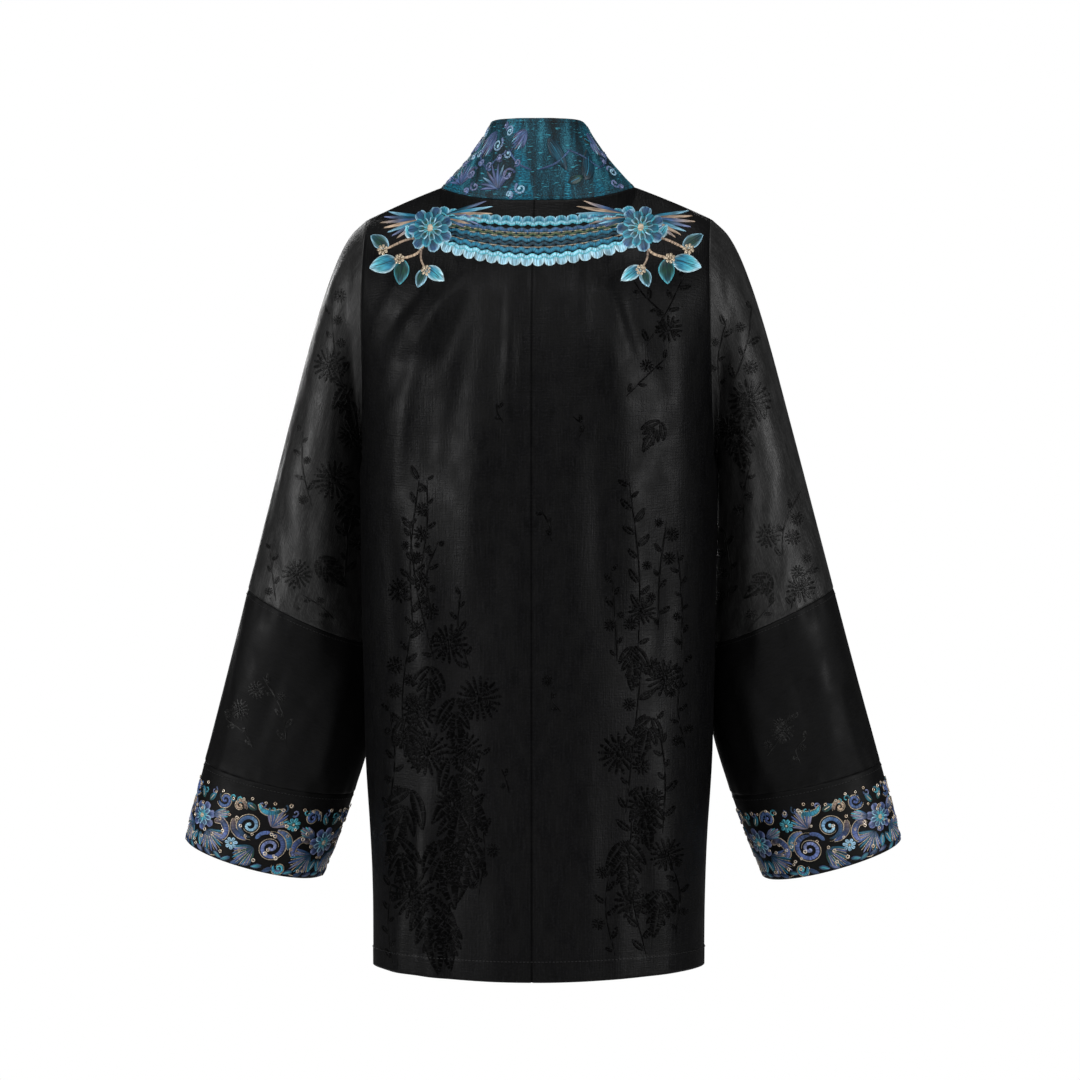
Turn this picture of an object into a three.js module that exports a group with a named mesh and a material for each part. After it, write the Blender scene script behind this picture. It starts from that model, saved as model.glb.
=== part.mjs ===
// A hip-length jacket cut like a kimono, standing in the form it has when it is worn, with nobody in it.
// Two back panels and two front panels go round an open body. Each sleeve is an upper length, a lower length
// below a slanting seam at the elbow, and a cuff band. A collar band in two halves stands round the neck and
// runs down both front edges to the hem.
// Millimetres. +Z is up, the front looks to -Y, and the wearer's left is +X. The origin is in the middle of
// the neck, at the height where the collar meets the shoulders.
import * as THREE from 'three';

const CLOTH = 2;             // outer cloth and backing together
const SEAM_GAP = 0.3;        // between two pieces along a seam
const NECK_STEPS = 7;        // facets along half the back neck
const SHOULDER_STEPS = 10;   // along one shoulder
const BODY_STEPS = 14;       // from hem to underarm
const ARMHOLE_STEPS = 10;    // from underarm to shoulder point, at the back and again at the front
const BAND_STEPS = 5;        // across the collar band

const UNDERARM = new THREE.Vector3(176, 0, -265);
const SHOULDER_POINT = new THREE.Vector3(172, 0, -29);
const NECK_POINT = new THREE.Vector3(97, 20, 2);
const NECK_BACK = new THREE.Vector3(0, 75, -13);
const ARMHOLE_DEPTH = 62;    // from the shoulder line to the back, and to the front, of the armhole
const NECK_SHARE = NECK_STEPS / (NECK_STEPS + SHOULDER_STEPS);

// Rows with named columns.
const table = (columns, rows) => rows.map((row) => (
  Object.fromEntries(columns.split(' ').map((column, k) => [column, row[k]]))));

// Half of the back, by height: `at` is 0 at the hem, 1 at the underarm and 2 at the neck and shoulder.
// The middle of the back is at (0, middleY, middleZ) and the side seam at (sideX, 0, sideZ). `round` and
// `square` shape the bend between them, and `bunch` draws the columns together towards the side.
const BACK = table('at middleY middleZ sideX sideZ round square bunch', [
  [0.00, 118, -785, 165.5, -785, 2.5, 2.5, 1.0],
  [0.20, 120, -681, 166.5, -681, 2.5, 2.5, 1.0],
  [0.45, 122, -551, 170.5, -551, 2.5, 2.5, 1.0],
  [0.70, 124, -421, 173.5, -421, 2.5, 2.5, 1.0],
  [1.00, 126, -265, 176.0, -265, 2.5, 2.4, 1.0],
  [1.25, 125, -205, 176.0, -265, 2.4, 1.7, 0.7],
  [1.50, 121, -142, 176.0, -265, 2.3, 1.2, 0.3],
  [1.75, 107,  -74, 176.0, -265, 2.2, 1.0, 0.0],
  [2.00,  75,  -13, 176.0, -265, 2.2, 1.0, 0.0],
]);

// Half of the front, by the same heights: the seam where the collar band joins, and the band's free edge.
const FRONT = table('at seamX seamY seamZ freeX freeY freeZ round square', [
  [0.00,  78, -112, -785,  3, -115, -785, 2.5, 2.5],
  [0.20,  79, -113, -681,  3, -117, -681, 2.5, 2.5],
  [0.45,  80, -115, -551,  3, -119, -551, 2.5, 2.5],
  [0.70,  81, -116, -421,  3, -121, -421, 2.5, 2.5],
  [1.00,  82, -117, -265,  3, -123, -265, 2.5, 2.4],
  [1.20,  85, -114, -195,  7, -123, -197, 2.3, 1.7],
  [1.42,  91, -102, -122, 13, -117, -126, 2.1, 1.2],
  [1.61,  97,  -78,  -66, 22, -101,  -62, 1.7, 1.0],
  [1.78, 101,  -42,  -25, 32,  -70,    0, 1.3, 1.0],
  [1.90, 100,   -9,   -6, 44,  -28,   42, 1.1, 1.0],
  [2.00,  97,   20,    2, 50,   12,   62, 1.0, 1.0],
]);

// The free edge of the collar behind the neck: `at` is 0 at the centre back and 1 at the neck point.
const COLLAR = table('at freeX freeY freeZ', [
  [0.0,  0, 62, 68],
  [0.4, 22, 58, 68],
  [0.8, 44, 36, 67],
  [1.0, 50, 12, 62],
]);
const COLLAR_HOLLOW = 5;     // how far the band curves in between its two edges at the side of the neck

// The left sleeve, by length: `at` is 0 at the armhole, 1 at the elbow seam, 2 at the cuff seam and 3 at the
// cuff's edge. `depth` is half the sleeve from front to back, and `drop` how much lower its back hangs for
// each millimetre of depth. `fold` is 1 where the underside is a fold, and 0 where the sleeve is round.
const SLEEVE = table('at outerX outerY outerZ innerX innerY innerZ depth drop fold', [
  [0.00, 172,   0,  -29,   176,   0, -265, 62, 0.00, 1.0],
  [0.08, 190,   0,  -47,   177, -22, -281, 62, 0.01, 1.0],
  [0.18, 206,  -1,  -79, 175.6, -34, -300, 62, 0.02, 0.9],
  [0.35, 226,  -4, -139, 174.3, -40, -332, 61, 0.05, 0.7],
  [0.60, 252, -10, -236, 173.3, -43, -379, 59, 0.08, 0.5],
  [0.80, 273, -16, -317, 172.7, -44, -417, 58, 0.10, 0.3],
  [1.00, 294, -22, -398, 171.5, -46, -454, 57, 0.12, 0.2],
  [1.50, 317, -32, -486, 169.5, -50, -530, 56, 0.15, 0.1],
  [2.00, 340, -44, -571,   190, -57, -603, 55, 0.18, 0.0],
  [3.00, 361, -56, -650,   222, -66, -687, 53, 0.22, 0.0],
]);
const SLEEVE_PIECES = [
  { name: 'upper', from: 0, to: 1, steps: 12 },
  { name: 'lower', from: 1, to: 2, steps: 6 },
  { name: 'cuff', from: 2, to: 3, steps: 4 },
];

// The largest folds, as they lie seen from behind or from the front: each runs from (x, z) to (toX, toZ),
// `width` wide, and stands `height` proud of the cloth round it. x is positive on the wearer's left.
const FOLDS = table('face x z toX toZ width height', [
  ['back'        ,   84,  -92,  130, -175, 18, 8],
  ['back'        ,  130, -165,  147, -300, 17, 6],
  ['back'        ,   20,  -80,   18, -260, 11, 5],
  ['back'        ,  118, -320,  104, -560, 20, 6],
  ['back'        ,  106, -640,   98, -830, 15, 7],
  ['back'        ,  134, -680,  130, -830, 13, 5],
  ['back'        ,  -66,  -78,  -92, -235, 19, 7],
  ['back'        ,  -92, -225, -104, -440, 22, 6],
  ['back'        , -138, -110, -146, -330, 16, 5],
  ['back'        , -126, -540, -134, -830, 20, 6],
  ['front'       ,  118,  -60,  134, -310, 19, 7],
  ['front'       ,  112, -420,  120, -830, 18, 7],
  ['front'       , -112,  -60, -132, -290, 19, 7],
  ['front'       , -124, -380, -110, -830, 18, 6],
  ['sleeveBehind',  196,  -80,  206, -190, 13, 5],
  ['sleeveBehind',  250, -270,  216, -440, 18, 6],
  ['sleeveBehind',  196, -470,  224, -600, 13, 6],
  ['sleeveBehind',  288, -430,  306, -580, 17, 5],
  ['sleeveBehind', -200,  -90, -214, -220, 15, 5],
  ['sleeveBehind', -244, -250, -206, -420, 17, 6],
  ['sleeveBehind', -200, -480, -230, -595, 14, 6],
  ['sleeveBehind', -278, -440, -300, -590, 16, 5],
  ['sleeveBefore',  206,  -90,  236, -300, 18, 6],
  ['sleeveBefore',  236, -430,  276, -600, 18, 6],
  ['sleeveBefore', -202, -100, -240, -330, 18, 6],
  ['sleeveBefore', -228, -440, -262, -600, 17, 6],
]);

const { lerp, smoothstep } = THREE.MathUtils;

// One column of a table at any place between its rows, on a smooth curve through them.
function along(table, column, at) {
  let row = 0;
  while (row < table.length - 2 && at > table[row + 1].at) row += 1;
  const slope = (k) => {
    const low = table[Math.max(k - 1, 0)];
    const high = table[Math.min(k + 1, table.length - 1)];
    return (high[column] - low[column]) / (high.at - low.at);
  };
  const [start, end] = [table[row], table[row + 1]];
  const span = end.at - start.at;
  const u = (at - start.at) / span;
  const ease = u * u * (3 - 2 * u);
  const lean = slope(row) * u * (1 - u) ** 2 - slope(row + 1) * u * u * (1 - u);
  return lerp(start[column], end[column], ease) + span * lean;
}

// The armhole from the underarm, 0, to the shoulder point, 1, on the back or the front.
function armhole(share, facing) {
  const climb = lerp(share, Math.sin(share * Math.PI / 2), 0.75);
  const point = new THREE.Vector3().lerpVectors(UNDERARM, SHOULDER_POINT, climb);
  point.y += facing * ARMHOLE_DEPTH * Math.sin(share * Math.PI);
  return point;
}

function shoulderLine(share) {
  const point = new THREE.Vector3().lerpVectors(NECK_POINT, SHOULDER_POINT, share);
  point.z += 4 * share * (1 - share);
  return point;
}

function backNeck(share) {
  return new THREE.Vector3(
    NECK_POINT.x * share,
    lerp(NECK_POINT.y, NECK_BACK.y, Math.max(0, 1 - share ** 2) ** 0.75),
    lerp(NECK_BACK.z, NECK_POINT.z, share ** 3),
  );
}

const sideEdge = (at, facing) => (at > 1
  ? armhole(at - 1, facing)
  : new THREE.Vector3(along(BACK, 'sideX', at), 0, along(BACK, 'sideZ', at)));

// A level line of a panel, from its inner edge to its side edge, bending round as the body does.
function section(inner, side, across, round, square) {
  const bend = Math.max(0, 1 - across ** round) ** (1 / square);
  return new THREE.Vector3(
    lerp(inner.x, side.x, across),
    lerp(side.y, inner.y, bend),
    lerp(inner.z, side.z, across ** 2),
  );
}

// A point on the left back: `across` is 0 at the centre back and 1 at the side or armhole.
function backPoint(across, at) {
  const level = (height) => {
    const value = (column) => along(BACK, column, height);
    const spread = lerp(across, Math.sin(across * Math.PI / 2), value('bunch'));
    const middle = new THREE.Vector3(0, value('middleY'), value('middleZ'));
    return section(middle, sideEdge(height, 1), spread, value('round'), value('square'));
  };
  const point = level(at);
  const top = across < NECK_SHARE
    ? backNeck(across / NECK_SHARE)
    : shoulderLine((across - NECK_SHARE) / (1 - NECK_SHARE));
  return point.addScaledVector(top.sub(level(2)), smoothstep(at, 1.5, 2) ** 2);
}

// A point on the left front: `across` is 0 at the collar band and 1 at the side or armhole.
function frontPoint(across, at) {
  const value = (column) => along(FRONT, column, at);
  const seam = new THREE.Vector3(value('seamX'), value('seamY'), value('seamZ'));
  const spread = lerp(across, Math.sin(across * Math.PI / 2), 1 - smoothstep(at, 1, 1.7));
  const point = section(seam, sideEdge(at, -1), spread, value('round'), value('square'));
  const top = shoulderLine(across).sub(section(NECK_POINT, SHOULDER_POINT, across, 1, 1));
  return point.addScaledVector(top, smoothstep(at, 1.6, 2) ** 2);
}

// A point on the left collar band: `along` the band it is 0 at the centre back, 1 at the neck point and 3 at
// the hem, and `across` it is 0 at the seam and 1 at the free edge.
function collarPoint(across, length) {
  const behind = length < 1;
  const height = 3 - length;
  const seam = behind ? backNeck(length) : frontPoint(0, height);
  const edges = behind ? COLLAR : FRONT;
  const place = behind ? length : height;
  const value = (column) => along(edges, column, place);
  const free = new THREE.Vector3(value('freeX'), value('freeY'), value('freeZ'));
  const hollow = COLLAR_HOLLOW * Math.exp(-(((length - 0.95) / 0.35) ** 2)) * 4 * across * (1 - across);
  const point = seam.lerp(free, across);
  point.x -= hollow * 0.8;
  point.z -= hollow * 0.6;
  return point;
}

// A point on the left sleeve: `turn` goes round it from the underside, 0, over the back to the outside, 1, and
// over the front to the underside again, 2.
function sleevePoint(turn, at) {
  const value = (column) => along(SLEEVE, column, at);
  const facing = turn > 1 ? -1 : 1;
  const share = turn > 1 ? 2 - turn : turn;
  const folded = lerp(share, Math.sin(share * Math.PI / 2), 0.75);
  const climb = lerp((1 - Math.cos(share * Math.PI)) / 2, folded, value('fold'));
  const inner = new THREE.Vector3(value('innerX'), value('innerY'), value('innerZ'));
  const outer = new THREE.Vector3(value('outerX'), value('outerY'), value('outerZ'));
  const reach = facing * value('depth') * Math.sin(share * Math.PI);
  const point = inner.lerp(outer, climb);
  point.y += reach;
  point.z -= reach * value('drop');
  return point;
}

// How far the folds of one face lift the cloth at a point.
function foldLift(face, side, point) {
  return FOLDS.filter((fold) => fold.face === face).reduce((lift, fold) => {
    const run = new THREE.Vector2(fold.toX - fold.x, fold.toZ - fold.z);
    const offset = new THREE.Vector2(side * point.x - fold.x, point.z - fold.z);
    const share = THREE.MathUtils.clamp(offset.dot(run) / run.lengthSq(), 0, 1);
    const distance = offset.addScaledVector(run, -share).length();
    const taper = Math.sin(Math.PI * lerp(0.12, 0.95, share));
    return lift + fold.height * Math.exp(-((distance / fold.width) ** 2)) * taper;
  }, 0);
}

// 1 in the middle of a panel, and 0 along its seams, so that folds die away before they reach a seam.
function seamFade(surface, u, v) {
  if (surface === 'collar') return 0;
  if (surface === 'sleeve') {
    const toSeam = Math.min(v, Math.abs(v - 1), Math.abs(v - 2));
    return smoothstep(Math.sin(u * Math.PI) ** 2, 0, 0.3) * smoothstep(toSeam, 0, 0.2) * (v < 2 ? 1 : 0);
  }
  return smoothstep(Math.min(u, 1 - u), 0, 0.14) * smoothstep(2 - v, 0, 0.3);
}

// The surfaces of the left half. `turned` is 1 where across by up points out of the jacket.
const steps = (count, from, to) => Array.from({ length: count + 1 }, (_, k) => lerp(from, to, k / count));
const HEIGHTS = [...steps(BODY_STEPS, 0, 1), ...steps(ARMHOLE_STEPS, 1, 2).slice(1)];
const LENGTHS = [...steps(NECK_STEPS, 0, 1), ...HEIGHTS.map((at) => 3 - at).reverse().slice(1)];
const SURFACES = {
  back: { point: backPoint, turned: -1, low: 0, high: 2 },
  front: { point: frontPoint, turned: 1, low: 0, high: 2 },
  collar: { point: collarPoint, turned: 1, low: 0, high: 3 },
  sleeve: { point: sleevePoint, turned: 1, low: 0, high: 3, round: true },
};

// The direction out of a surface at one place, from the points just beside it.
function outward(name, u, v) {
  const { point, turned, low, high, round } = SURFACES[name];
  const step = 1e-3;
  const hold = (value, from, to) => Math.min(Math.max(value, from), to);
  const move = (value) => (round ? (value + 2) % 2 : hold(value, 0, 1));
  const overU = point(move(u + step), v).sub(point(move(u - step), v));
  const overV = point(u, hold(v + step, low, high)).sub(point(u, hold(v - step, low, high)));
  return overU.cross(overV).normalize().multiplyScalar(turned);
}

// The pieces sewn to one place on a surface's edge: the surface's name, the place on it, and whether it
// belongs to the other half of the jacket.
const shoulderPlace = (share) => lerp(NECK_SHARE, 1, share);
const SEWN_TO = {
  back: (u, v) => [
    u === 0 && ['back', 0, v, true],
    u === 0 && v === 2 && ['collar', 0, 0, true],
    u === 1 && (v <= 1 || v === 2) && ['front', 1, v],
    u === 1 && v >= 1 && ['sleeve', v - 1, 0],
    v === 2 && u <= NECK_SHARE && ['collar', 0, u / NECK_SHARE],
    v === 2 && u >= NECK_SHARE && u < 1 && ['front', (u - NECK_SHARE) / (1 - NECK_SHARE), 2],
  ],
  front: (u, v) => [
    u === 0 && ['collar', 0, 3 - v],
    u === 1 && v <= 1 && ['back', 1, v],
    u === 1 && v >= 1 && ['sleeve', (3 - v) % 2, 0],
    v === 2 && ['back', shoulderPlace(u), 2],
  ],
  collar: (u, v) => [
    v === 0 && ['collar', u, 0, true],
    u === 0 && v <= 1 && ['back', v * NECK_SHARE, 2],
    u === 0 && v === 0 && ['back', 0, 2, true],
    u === 0 && v >= 1 && ['front', 0, 3 - v],
  ],
  sleeve: (u, v) => [
    v === 0 && u <= 1 && ['back', 1, 1 + u],
    v === 0 && (u >= 1 || u === 0) && ['front', 1, u === 0 ? 1 : 3 - u],
  ],
};

// The way the wall goes inwards. Where pieces are sewn together they share one direction, unless one is
// folded back against the other.
function inward(name, u, v) {
  const own = outward(name, u, v);
  const shared = own.clone();
  for (const [other, otherU, otherV, mirrored] of SEWN_TO[name](u, v).filter(Boolean)) {
    const facing = outward(other, otherU, otherV);
    if (mirrored) facing.x *= -1;
    shared.addScaledVector(facing, smoothstep(own.dot(facing), -0.6, 0));
  }
  return shared.normalize().negate();
}

// A piece of cloth as a closed wall: the points on its outer face, the same points moved in by its
// thickness, and the rims between them. Seam edges are drawn back by half the seam's gap.
function cloth(name, surface, side, us, vs, seams, color) {
  const { turned, round } = SURFACES[surface];
  const columns = round ? us.length : us.length - 1;
  const outer = us.map((u) => vs.map((v) => {
    const point = SURFACES[surface].point(u, v);
    const face = round ? (u < 1 ? 'sleeveBehind' : 'sleeveBefore') : surface;
    const lift = foldLift(face, side, point) * seamFade(surface, u, v);
    return point.addScaledVector(outward(surface, u, v), lift);
  }));
  const inner = us.map((u, i) => vs.map((v, j) => (
    outer[i][j].clone().addScaledVector(inward(surface, u, v), CLOTH))));
  const last = vs.length - 1;
  const drawn = [];
  const around = (i) => (round ? (i + us.length) % us.length : Math.min(Math.max(i, 0), us.length - 1));
  const drawBack = (i, j, alongU, toI, toJ) => {
    const [before, after] = alongU
      ? [outer[around(i - 1)][j], outer[around(i + 1)][j]]
      : [outer[i][Math.max(j - 1, 0)], outer[i][Math.min(j + 1, last)]];
    const edge = after.clone().sub(before).normalize();
    const into = outer[toI][toJ].clone().sub(outer[i][j]);
    into.addScaledVector(edge, -into.dot(edge)).setLength(SEAM_GAP / 2);
    drawn.push([i, j, into]);
  };
  us.forEach((_, i) => {
    if (seams.low) drawBack(i, 0, true, i, 1);
    if (seams.high) drawBack(i, last, true, i, last - 1);
  });
  vs.forEach((_, j) => {
    if (seams.start) drawBack(0, j, false, 1, j);
    if (seams.end) drawBack(us.length - 1, j, false, us.length - 2, j);
  });
  for (const [i, j, into] of drawn) {
    outer[i][j].add(into);
    inner[i][j].add(into);
  }

  const points = [...outer.flat(), ...inner.flat()];
  const positions = points.flatMap((point) => [side * point.x, point.y, point.z]);
  const at = (wall, i, j) => wall * us.length * vs.length + (i % us.length) * vs.length + j;
  const index = [];
  const triangle = (a, b, c) => index.push(...(turned * side > 0 ? [a, b, c] : [a, c, b]));
  // Each facet is split along its shorter diagonal, so that the rims of two pieces stay parallel.
  const quad = (a, b, c, d) => {
    const split = points[a].distanceTo(points[c]) <= points[b].distanceTo(points[d]);
    triangle(...(split ? [a, b, c] : [b, c, d]));
    triangle(...(split ? [a, c, d] : [b, d, a]));
  };
  for (let i = 0; i < columns; i += 1) {
    for (let j = 0; j < last; j += 1) {
      quad(at(0, i, j), at(0, i + 1, j), at(0, i + 1, j + 1), at(0, i, j + 1));
      quad(at(1, i, j), at(1, i, j + 1), at(1, i + 1, j + 1), at(1, i + 1, j));
    }
    quad(at(0, i + 1, 0), at(0, i, 0), at(1, i, 0), at(1, i + 1, 0));
    quad(at(0, i, last), at(0, i + 1, last), at(1, i + 1, last), at(1, i, last));
  }
  if (!round) {
    for (let j = 0; j < last; j += 1) {
      quad(at(0, 0, j), at(0, 0, j + 1), at(1, 0, j + 1), at(1, 0, j));
      quad(at(0, columns, j + 1), at(0, columns, j), at(1, columns, j), at(1, columns, j + 1));
    }
  }
  const geometry = new THREE.BufferGeometry();
  geometry.setAttribute('position', new THREE.Float32BufferAttribute(positions, 3));
  geometry.setIndex(index);
  geometry.computeVertexNormals();
  const silk = new THREE.MeshStandardMaterial({ color, roughness: 0.45, metalness: 0 });
  const mesh = new THREE.Mesh(geometry, silk);
  mesh.name = name;
  return mesh;
}

const SATIN = '#191919';
const TEAL_SILK = '#1c5a66';
const CUFF_SILK = '#2c3f5c';

const jacket = new THREE.Group();
for (const [hand, side] of [['left', 1], ['right', -1]]) {
  const panel = (name, surface, us, vs, seams, color) => {
    jacket.add(cloth(name, surface, side, us, vs, seams, color));
  };
  const backColumns = [...steps(NECK_STEPS, 0, NECK_SHARE), ...steps(SHOULDER_STEPS, NECK_SHARE, 1).slice(1)];
  const bodySeams = { start: true, end: true, high: true };
  panel(`back_${hand}`, 'back', backColumns, HEIGHTS, bodySeams, SATIN);
  panel(`front_${hand}`, 'front', steps(SHOULDER_STEPS, 0, 1), HEIGHTS, bodySeams, SATIN);
  panel(`collar_${hand}`, 'collar', steps(BAND_STEPS, 0, 1), LENGTHS, { start: true, low: true }, TEAL_SILK);
  const turns = steps(2 * ARMHOLE_STEPS, 0, 2).slice(0, -1);
  for (const piece of SLEEVE_PIECES) {
    const ending = piece.name === 'cuff';
    const label = ending ? `cuff_${hand}` : `sleeve_${hand}_${piece.name}`;
    const lengths = steps(piece.steps, piece.from, piece.to);
    panel(label, 'sleeve', turns, lengths, { low: true, high: !ending }, ending ? CUFF_SILK : SATIN);
  }
}

export default jacket;
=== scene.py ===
# A hip-length black satin jacket cut like a kimono, in the form it has when it is worn, with nobody in it.
# The cut is worked out in millimetres and every mesh is made in metres. +Z is up, the front looks to -Y and
# the wearer's left is +X. Each piece of cloth is a thin wall on its solid's form, with finer folds; the
# needlework is raised on it stitch by stitch.
import math
import random

import bpy
import numpy as np
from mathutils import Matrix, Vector
from mathutils.bvhtree import BVHTree
from mathutils.kdtree import KDTree


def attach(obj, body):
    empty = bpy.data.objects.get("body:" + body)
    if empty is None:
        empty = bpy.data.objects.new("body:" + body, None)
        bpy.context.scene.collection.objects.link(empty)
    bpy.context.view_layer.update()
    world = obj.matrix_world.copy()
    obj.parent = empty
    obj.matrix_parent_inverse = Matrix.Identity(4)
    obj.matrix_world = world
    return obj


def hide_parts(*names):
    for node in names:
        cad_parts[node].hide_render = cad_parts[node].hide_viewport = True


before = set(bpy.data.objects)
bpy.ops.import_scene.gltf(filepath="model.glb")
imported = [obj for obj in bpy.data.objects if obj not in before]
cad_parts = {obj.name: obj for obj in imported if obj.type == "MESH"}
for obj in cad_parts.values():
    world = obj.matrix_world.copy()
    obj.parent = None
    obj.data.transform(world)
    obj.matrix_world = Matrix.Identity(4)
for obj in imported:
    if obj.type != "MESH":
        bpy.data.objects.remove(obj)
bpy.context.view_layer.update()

MM = 0.001
HANDS = (("left", 1), ("right", -1))

# ---------------------------------------- camera
FRAME_WIDTH = 1.080          # what the view takes in at the jacket, across and up
CAMERA_DISTANCE = 7.0
CAMERA_TURN = 3.5            # degrees towards the wearer's right
CAMERA_HEIGHT = -0.350       # of the point that it looks at
CAMERA_SIDE = -0.001
SENSOR = 36.0


def in_scene(name, data):
    made = bpy.data.objects.new(name, data)
    bpy.context.scene.collection.objects.link(made)
    return made


def look_at(thing, place, aim):
    thing.location = place
    thing.rotation_euler = (Vector(aim) - Vector(place)).to_track_quat("-Z", "Y").to_euler()


def make_camera():
    data = bpy.data.cameras.new("camera")
    data.sensor_width = SENSOR
    data.lens = SENSOR * CAMERA_DISTANCE / FRAME_WIDTH
    data.clip_end = 50
    camera = in_scene("camera", data)
    turn = math.radians(CAMERA_TURN)
    aim = Vector((CAMERA_SIDE, 0, CAMERA_HEIGHT))
    look_at(camera, aim + Vector((-math.sin(turn), math.cos(turn), 0)) * CAMERA_DISTANCE, aim)
    bpy.context.scene.camera = camera


# ---------------------------------------- cut
UNDERARM = np.array([176.0, 0, -265])
SHOULDER_POINT = np.array([172.0, 0, -29])
NECK_POINT = np.array([97.0, 20, 2])
NECK_BACK = np.array([0.0, 75, -13])
ARMHOLE_DEPTH = 62
NECK_SHARE = 7 / 17
COLLAR_HOLLOW = 5


def table(columns, rows):
    return dict(zip(columns.split(), np.array(rows, float).T))


# Half of the back by height: `at` is 0 at the hem, 1 at the underarm and 2 at the neck and shoulder. The hem
# rises a little towards the side seams.
BACK = table("at middleY middleZ sideX sideZ round square bunch", [
    [0.00, 118, -785, 165.5, -773, 2.5, 2.5, 1.0],
    [0.20, 120, -681, 166.5, -681, 2.5, 2.5, 1.0],
    [0.45, 122, -551, 170.5, -551, 2.5, 2.5, 1.0],
    [0.70, 124, -421, 173.5, -421, 2.5, 2.5, 1.0],
    [1.00, 126, -265, 176.0, -265, 2.5, 2.4, 1.0],
    [1.25, 125, -205, 176.0, -265, 2.4, 1.7, 0.7],
    [1.50, 121, -142, 176.0, -265, 2.3, 1.2, 0.3],
    [1.75, 107, -74, 176.0, -265, 2.2, 1.0, 0.0],
    [2.00, 75, -13, 176.0, -265, 2.2, 1.0, 0.0],
])

# Half of the front by the same heights: the collar's seam and the band's free edge.
FRONT = table("at seamX seamY seamZ freeX freeY freeZ round square", [
    [0.00, 78, -112, -785, 3, -115, -785, 2.5, 2.5],
    [0.20, 79, -113, -681, 3, -117, -681, 2.5, 2.5],
    [0.45, 80, -115, -551, 3, -119, -551, 2.5, 2.5],
    [0.70, 81, -116, -421, 3, -121, -421, 2.5, 2.5],
    [1.00, 82, -117, -265, 3, -123, -265, 2.5, 2.4],
    [1.20, 85, -114, -195, 7, -123, -197, 2.3, 1.7],
    [1.42, 91, -102, -122, 13, -117, -126, 2.1, 1.2],
    [1.61, 97, -78, -66, 22, -101, -62, 1.7, 1.0],
    [1.78, 101, -42, -25, 32, -70, 0, 1.3, 1.0],
    [1.90, 100, -9, -6, 44, -28, 42, 1.1, 1.0],
    [2.00, 97, 20, 2, 50, 12, 62, 1.0, 1.0],
])

# The collar's free edge behind the neck, from the centre back, 0, to the neck point, 1.
COLLAR = table("at freeX freeY freeZ", [
    [0.0, 0, 62, 68],
    [0.4, 22, 58, 68],
    [0.8, 44, 36, 67],
    [1.0, 50, 12, 62],
])

# The sleeve by length: 0 at the armhole, 1 at the elbow seam, 2 at the cuff seam and 3 at the cuff's edge.
SLEEVE = table("at outerX outerY outerZ innerX innerY innerZ depth drop fold", [
    [0.00, 172, 0, -29, 176, 0, -265, 62, 0.00, 1.0],
    [0.08, 190, 0, -47, 177, -22, -281, 62, 0.01, 1.0],
    [0.18, 206, -1, -79, 175.6, -34, -300, 62, 0.02, 0.9],
    [0.35, 226, -4, -139, 174.3, -40, -332, 61, 0.05, 0.7],
    [0.60, 252, -10, -236, 173.3, -43, -379, 59, 0.08, 0.5],
    [0.80, 273, -16, -317, 172.7, -44, -417, 58, 0.10, 0.3],
    [1.00, 294, -22, -398, 171.5, -46, -454, 57, 0.12, 0.2],
    [1.50, 317, -32, -486, 169.5, -50, -530, 56, 0.15, 0.1],
    [2.00, 340, -44, -571, 190, -57, -603, 55, 0.18, 0.0],
    [3.00, 361, -56, -650, 222, -66, -687, 53, 0.22, 0.0],
])

# Folds as they lie seen from behind or from the front. Each row is x, z, to x, to z, width and height: the fold
# runs from (x, z) to (to x, to z) and stands `height` proud, or lies as deep where the height is negative. x is
# positive on the left.
LARGE_FOLDS = {
    "back": [
        [84, -92, 130, -175, 18, 8],
        [130, -165, 147, -300, 17, 6],
        [20, -80, 18, -260, 11, 5],
        [118, -320, 104, -560, 20, 6],
        [106, -640, 98, -830, 15, 7],
        [134, -680, 130, -830, 13, 5],
        [-66, -78, -92, -235, 19, 7],
        [-92, -225, -104, -440, 22, 6],
        [-138, -110, -146, -330, 16, 5],
        [-126, -540, -134, -830, 20, 6],
    ],
    "front": [
        [118, -60, 134, -310, 19, 7],
        [112, -420, 120, -830, 18, 7],
        [-112, -60, -132, -290, 19, 7],
        [-124, -380, -110, -830, 18, 6],
    ],
    "sleeveBehind": [
        [196, -80, 206, -190, 13, 5],
        [250, -270, 216, -440, 18, 6],
        [196, -470, 224, -600, 13, 6],
        [288, -430, 306, -580, 17, 5],
        [-200, -90, -214, -220, 15, 5],
        [-244, -250, -206, -420, 17, 6],
        [-200, -480, -230, -595, 14, 6],
        [-278, -440, -300, -590, 16, 5],
    ],
    "sleeveBefore": [
        [206, -90, 236, -300, 18, 6],
        [236, -430, 276, -600, 18, 6],
        [-202, -100, -240, -330, 18, 6],
        [-228, -440, -262, -600, 17, 6],
    ],
}
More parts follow.
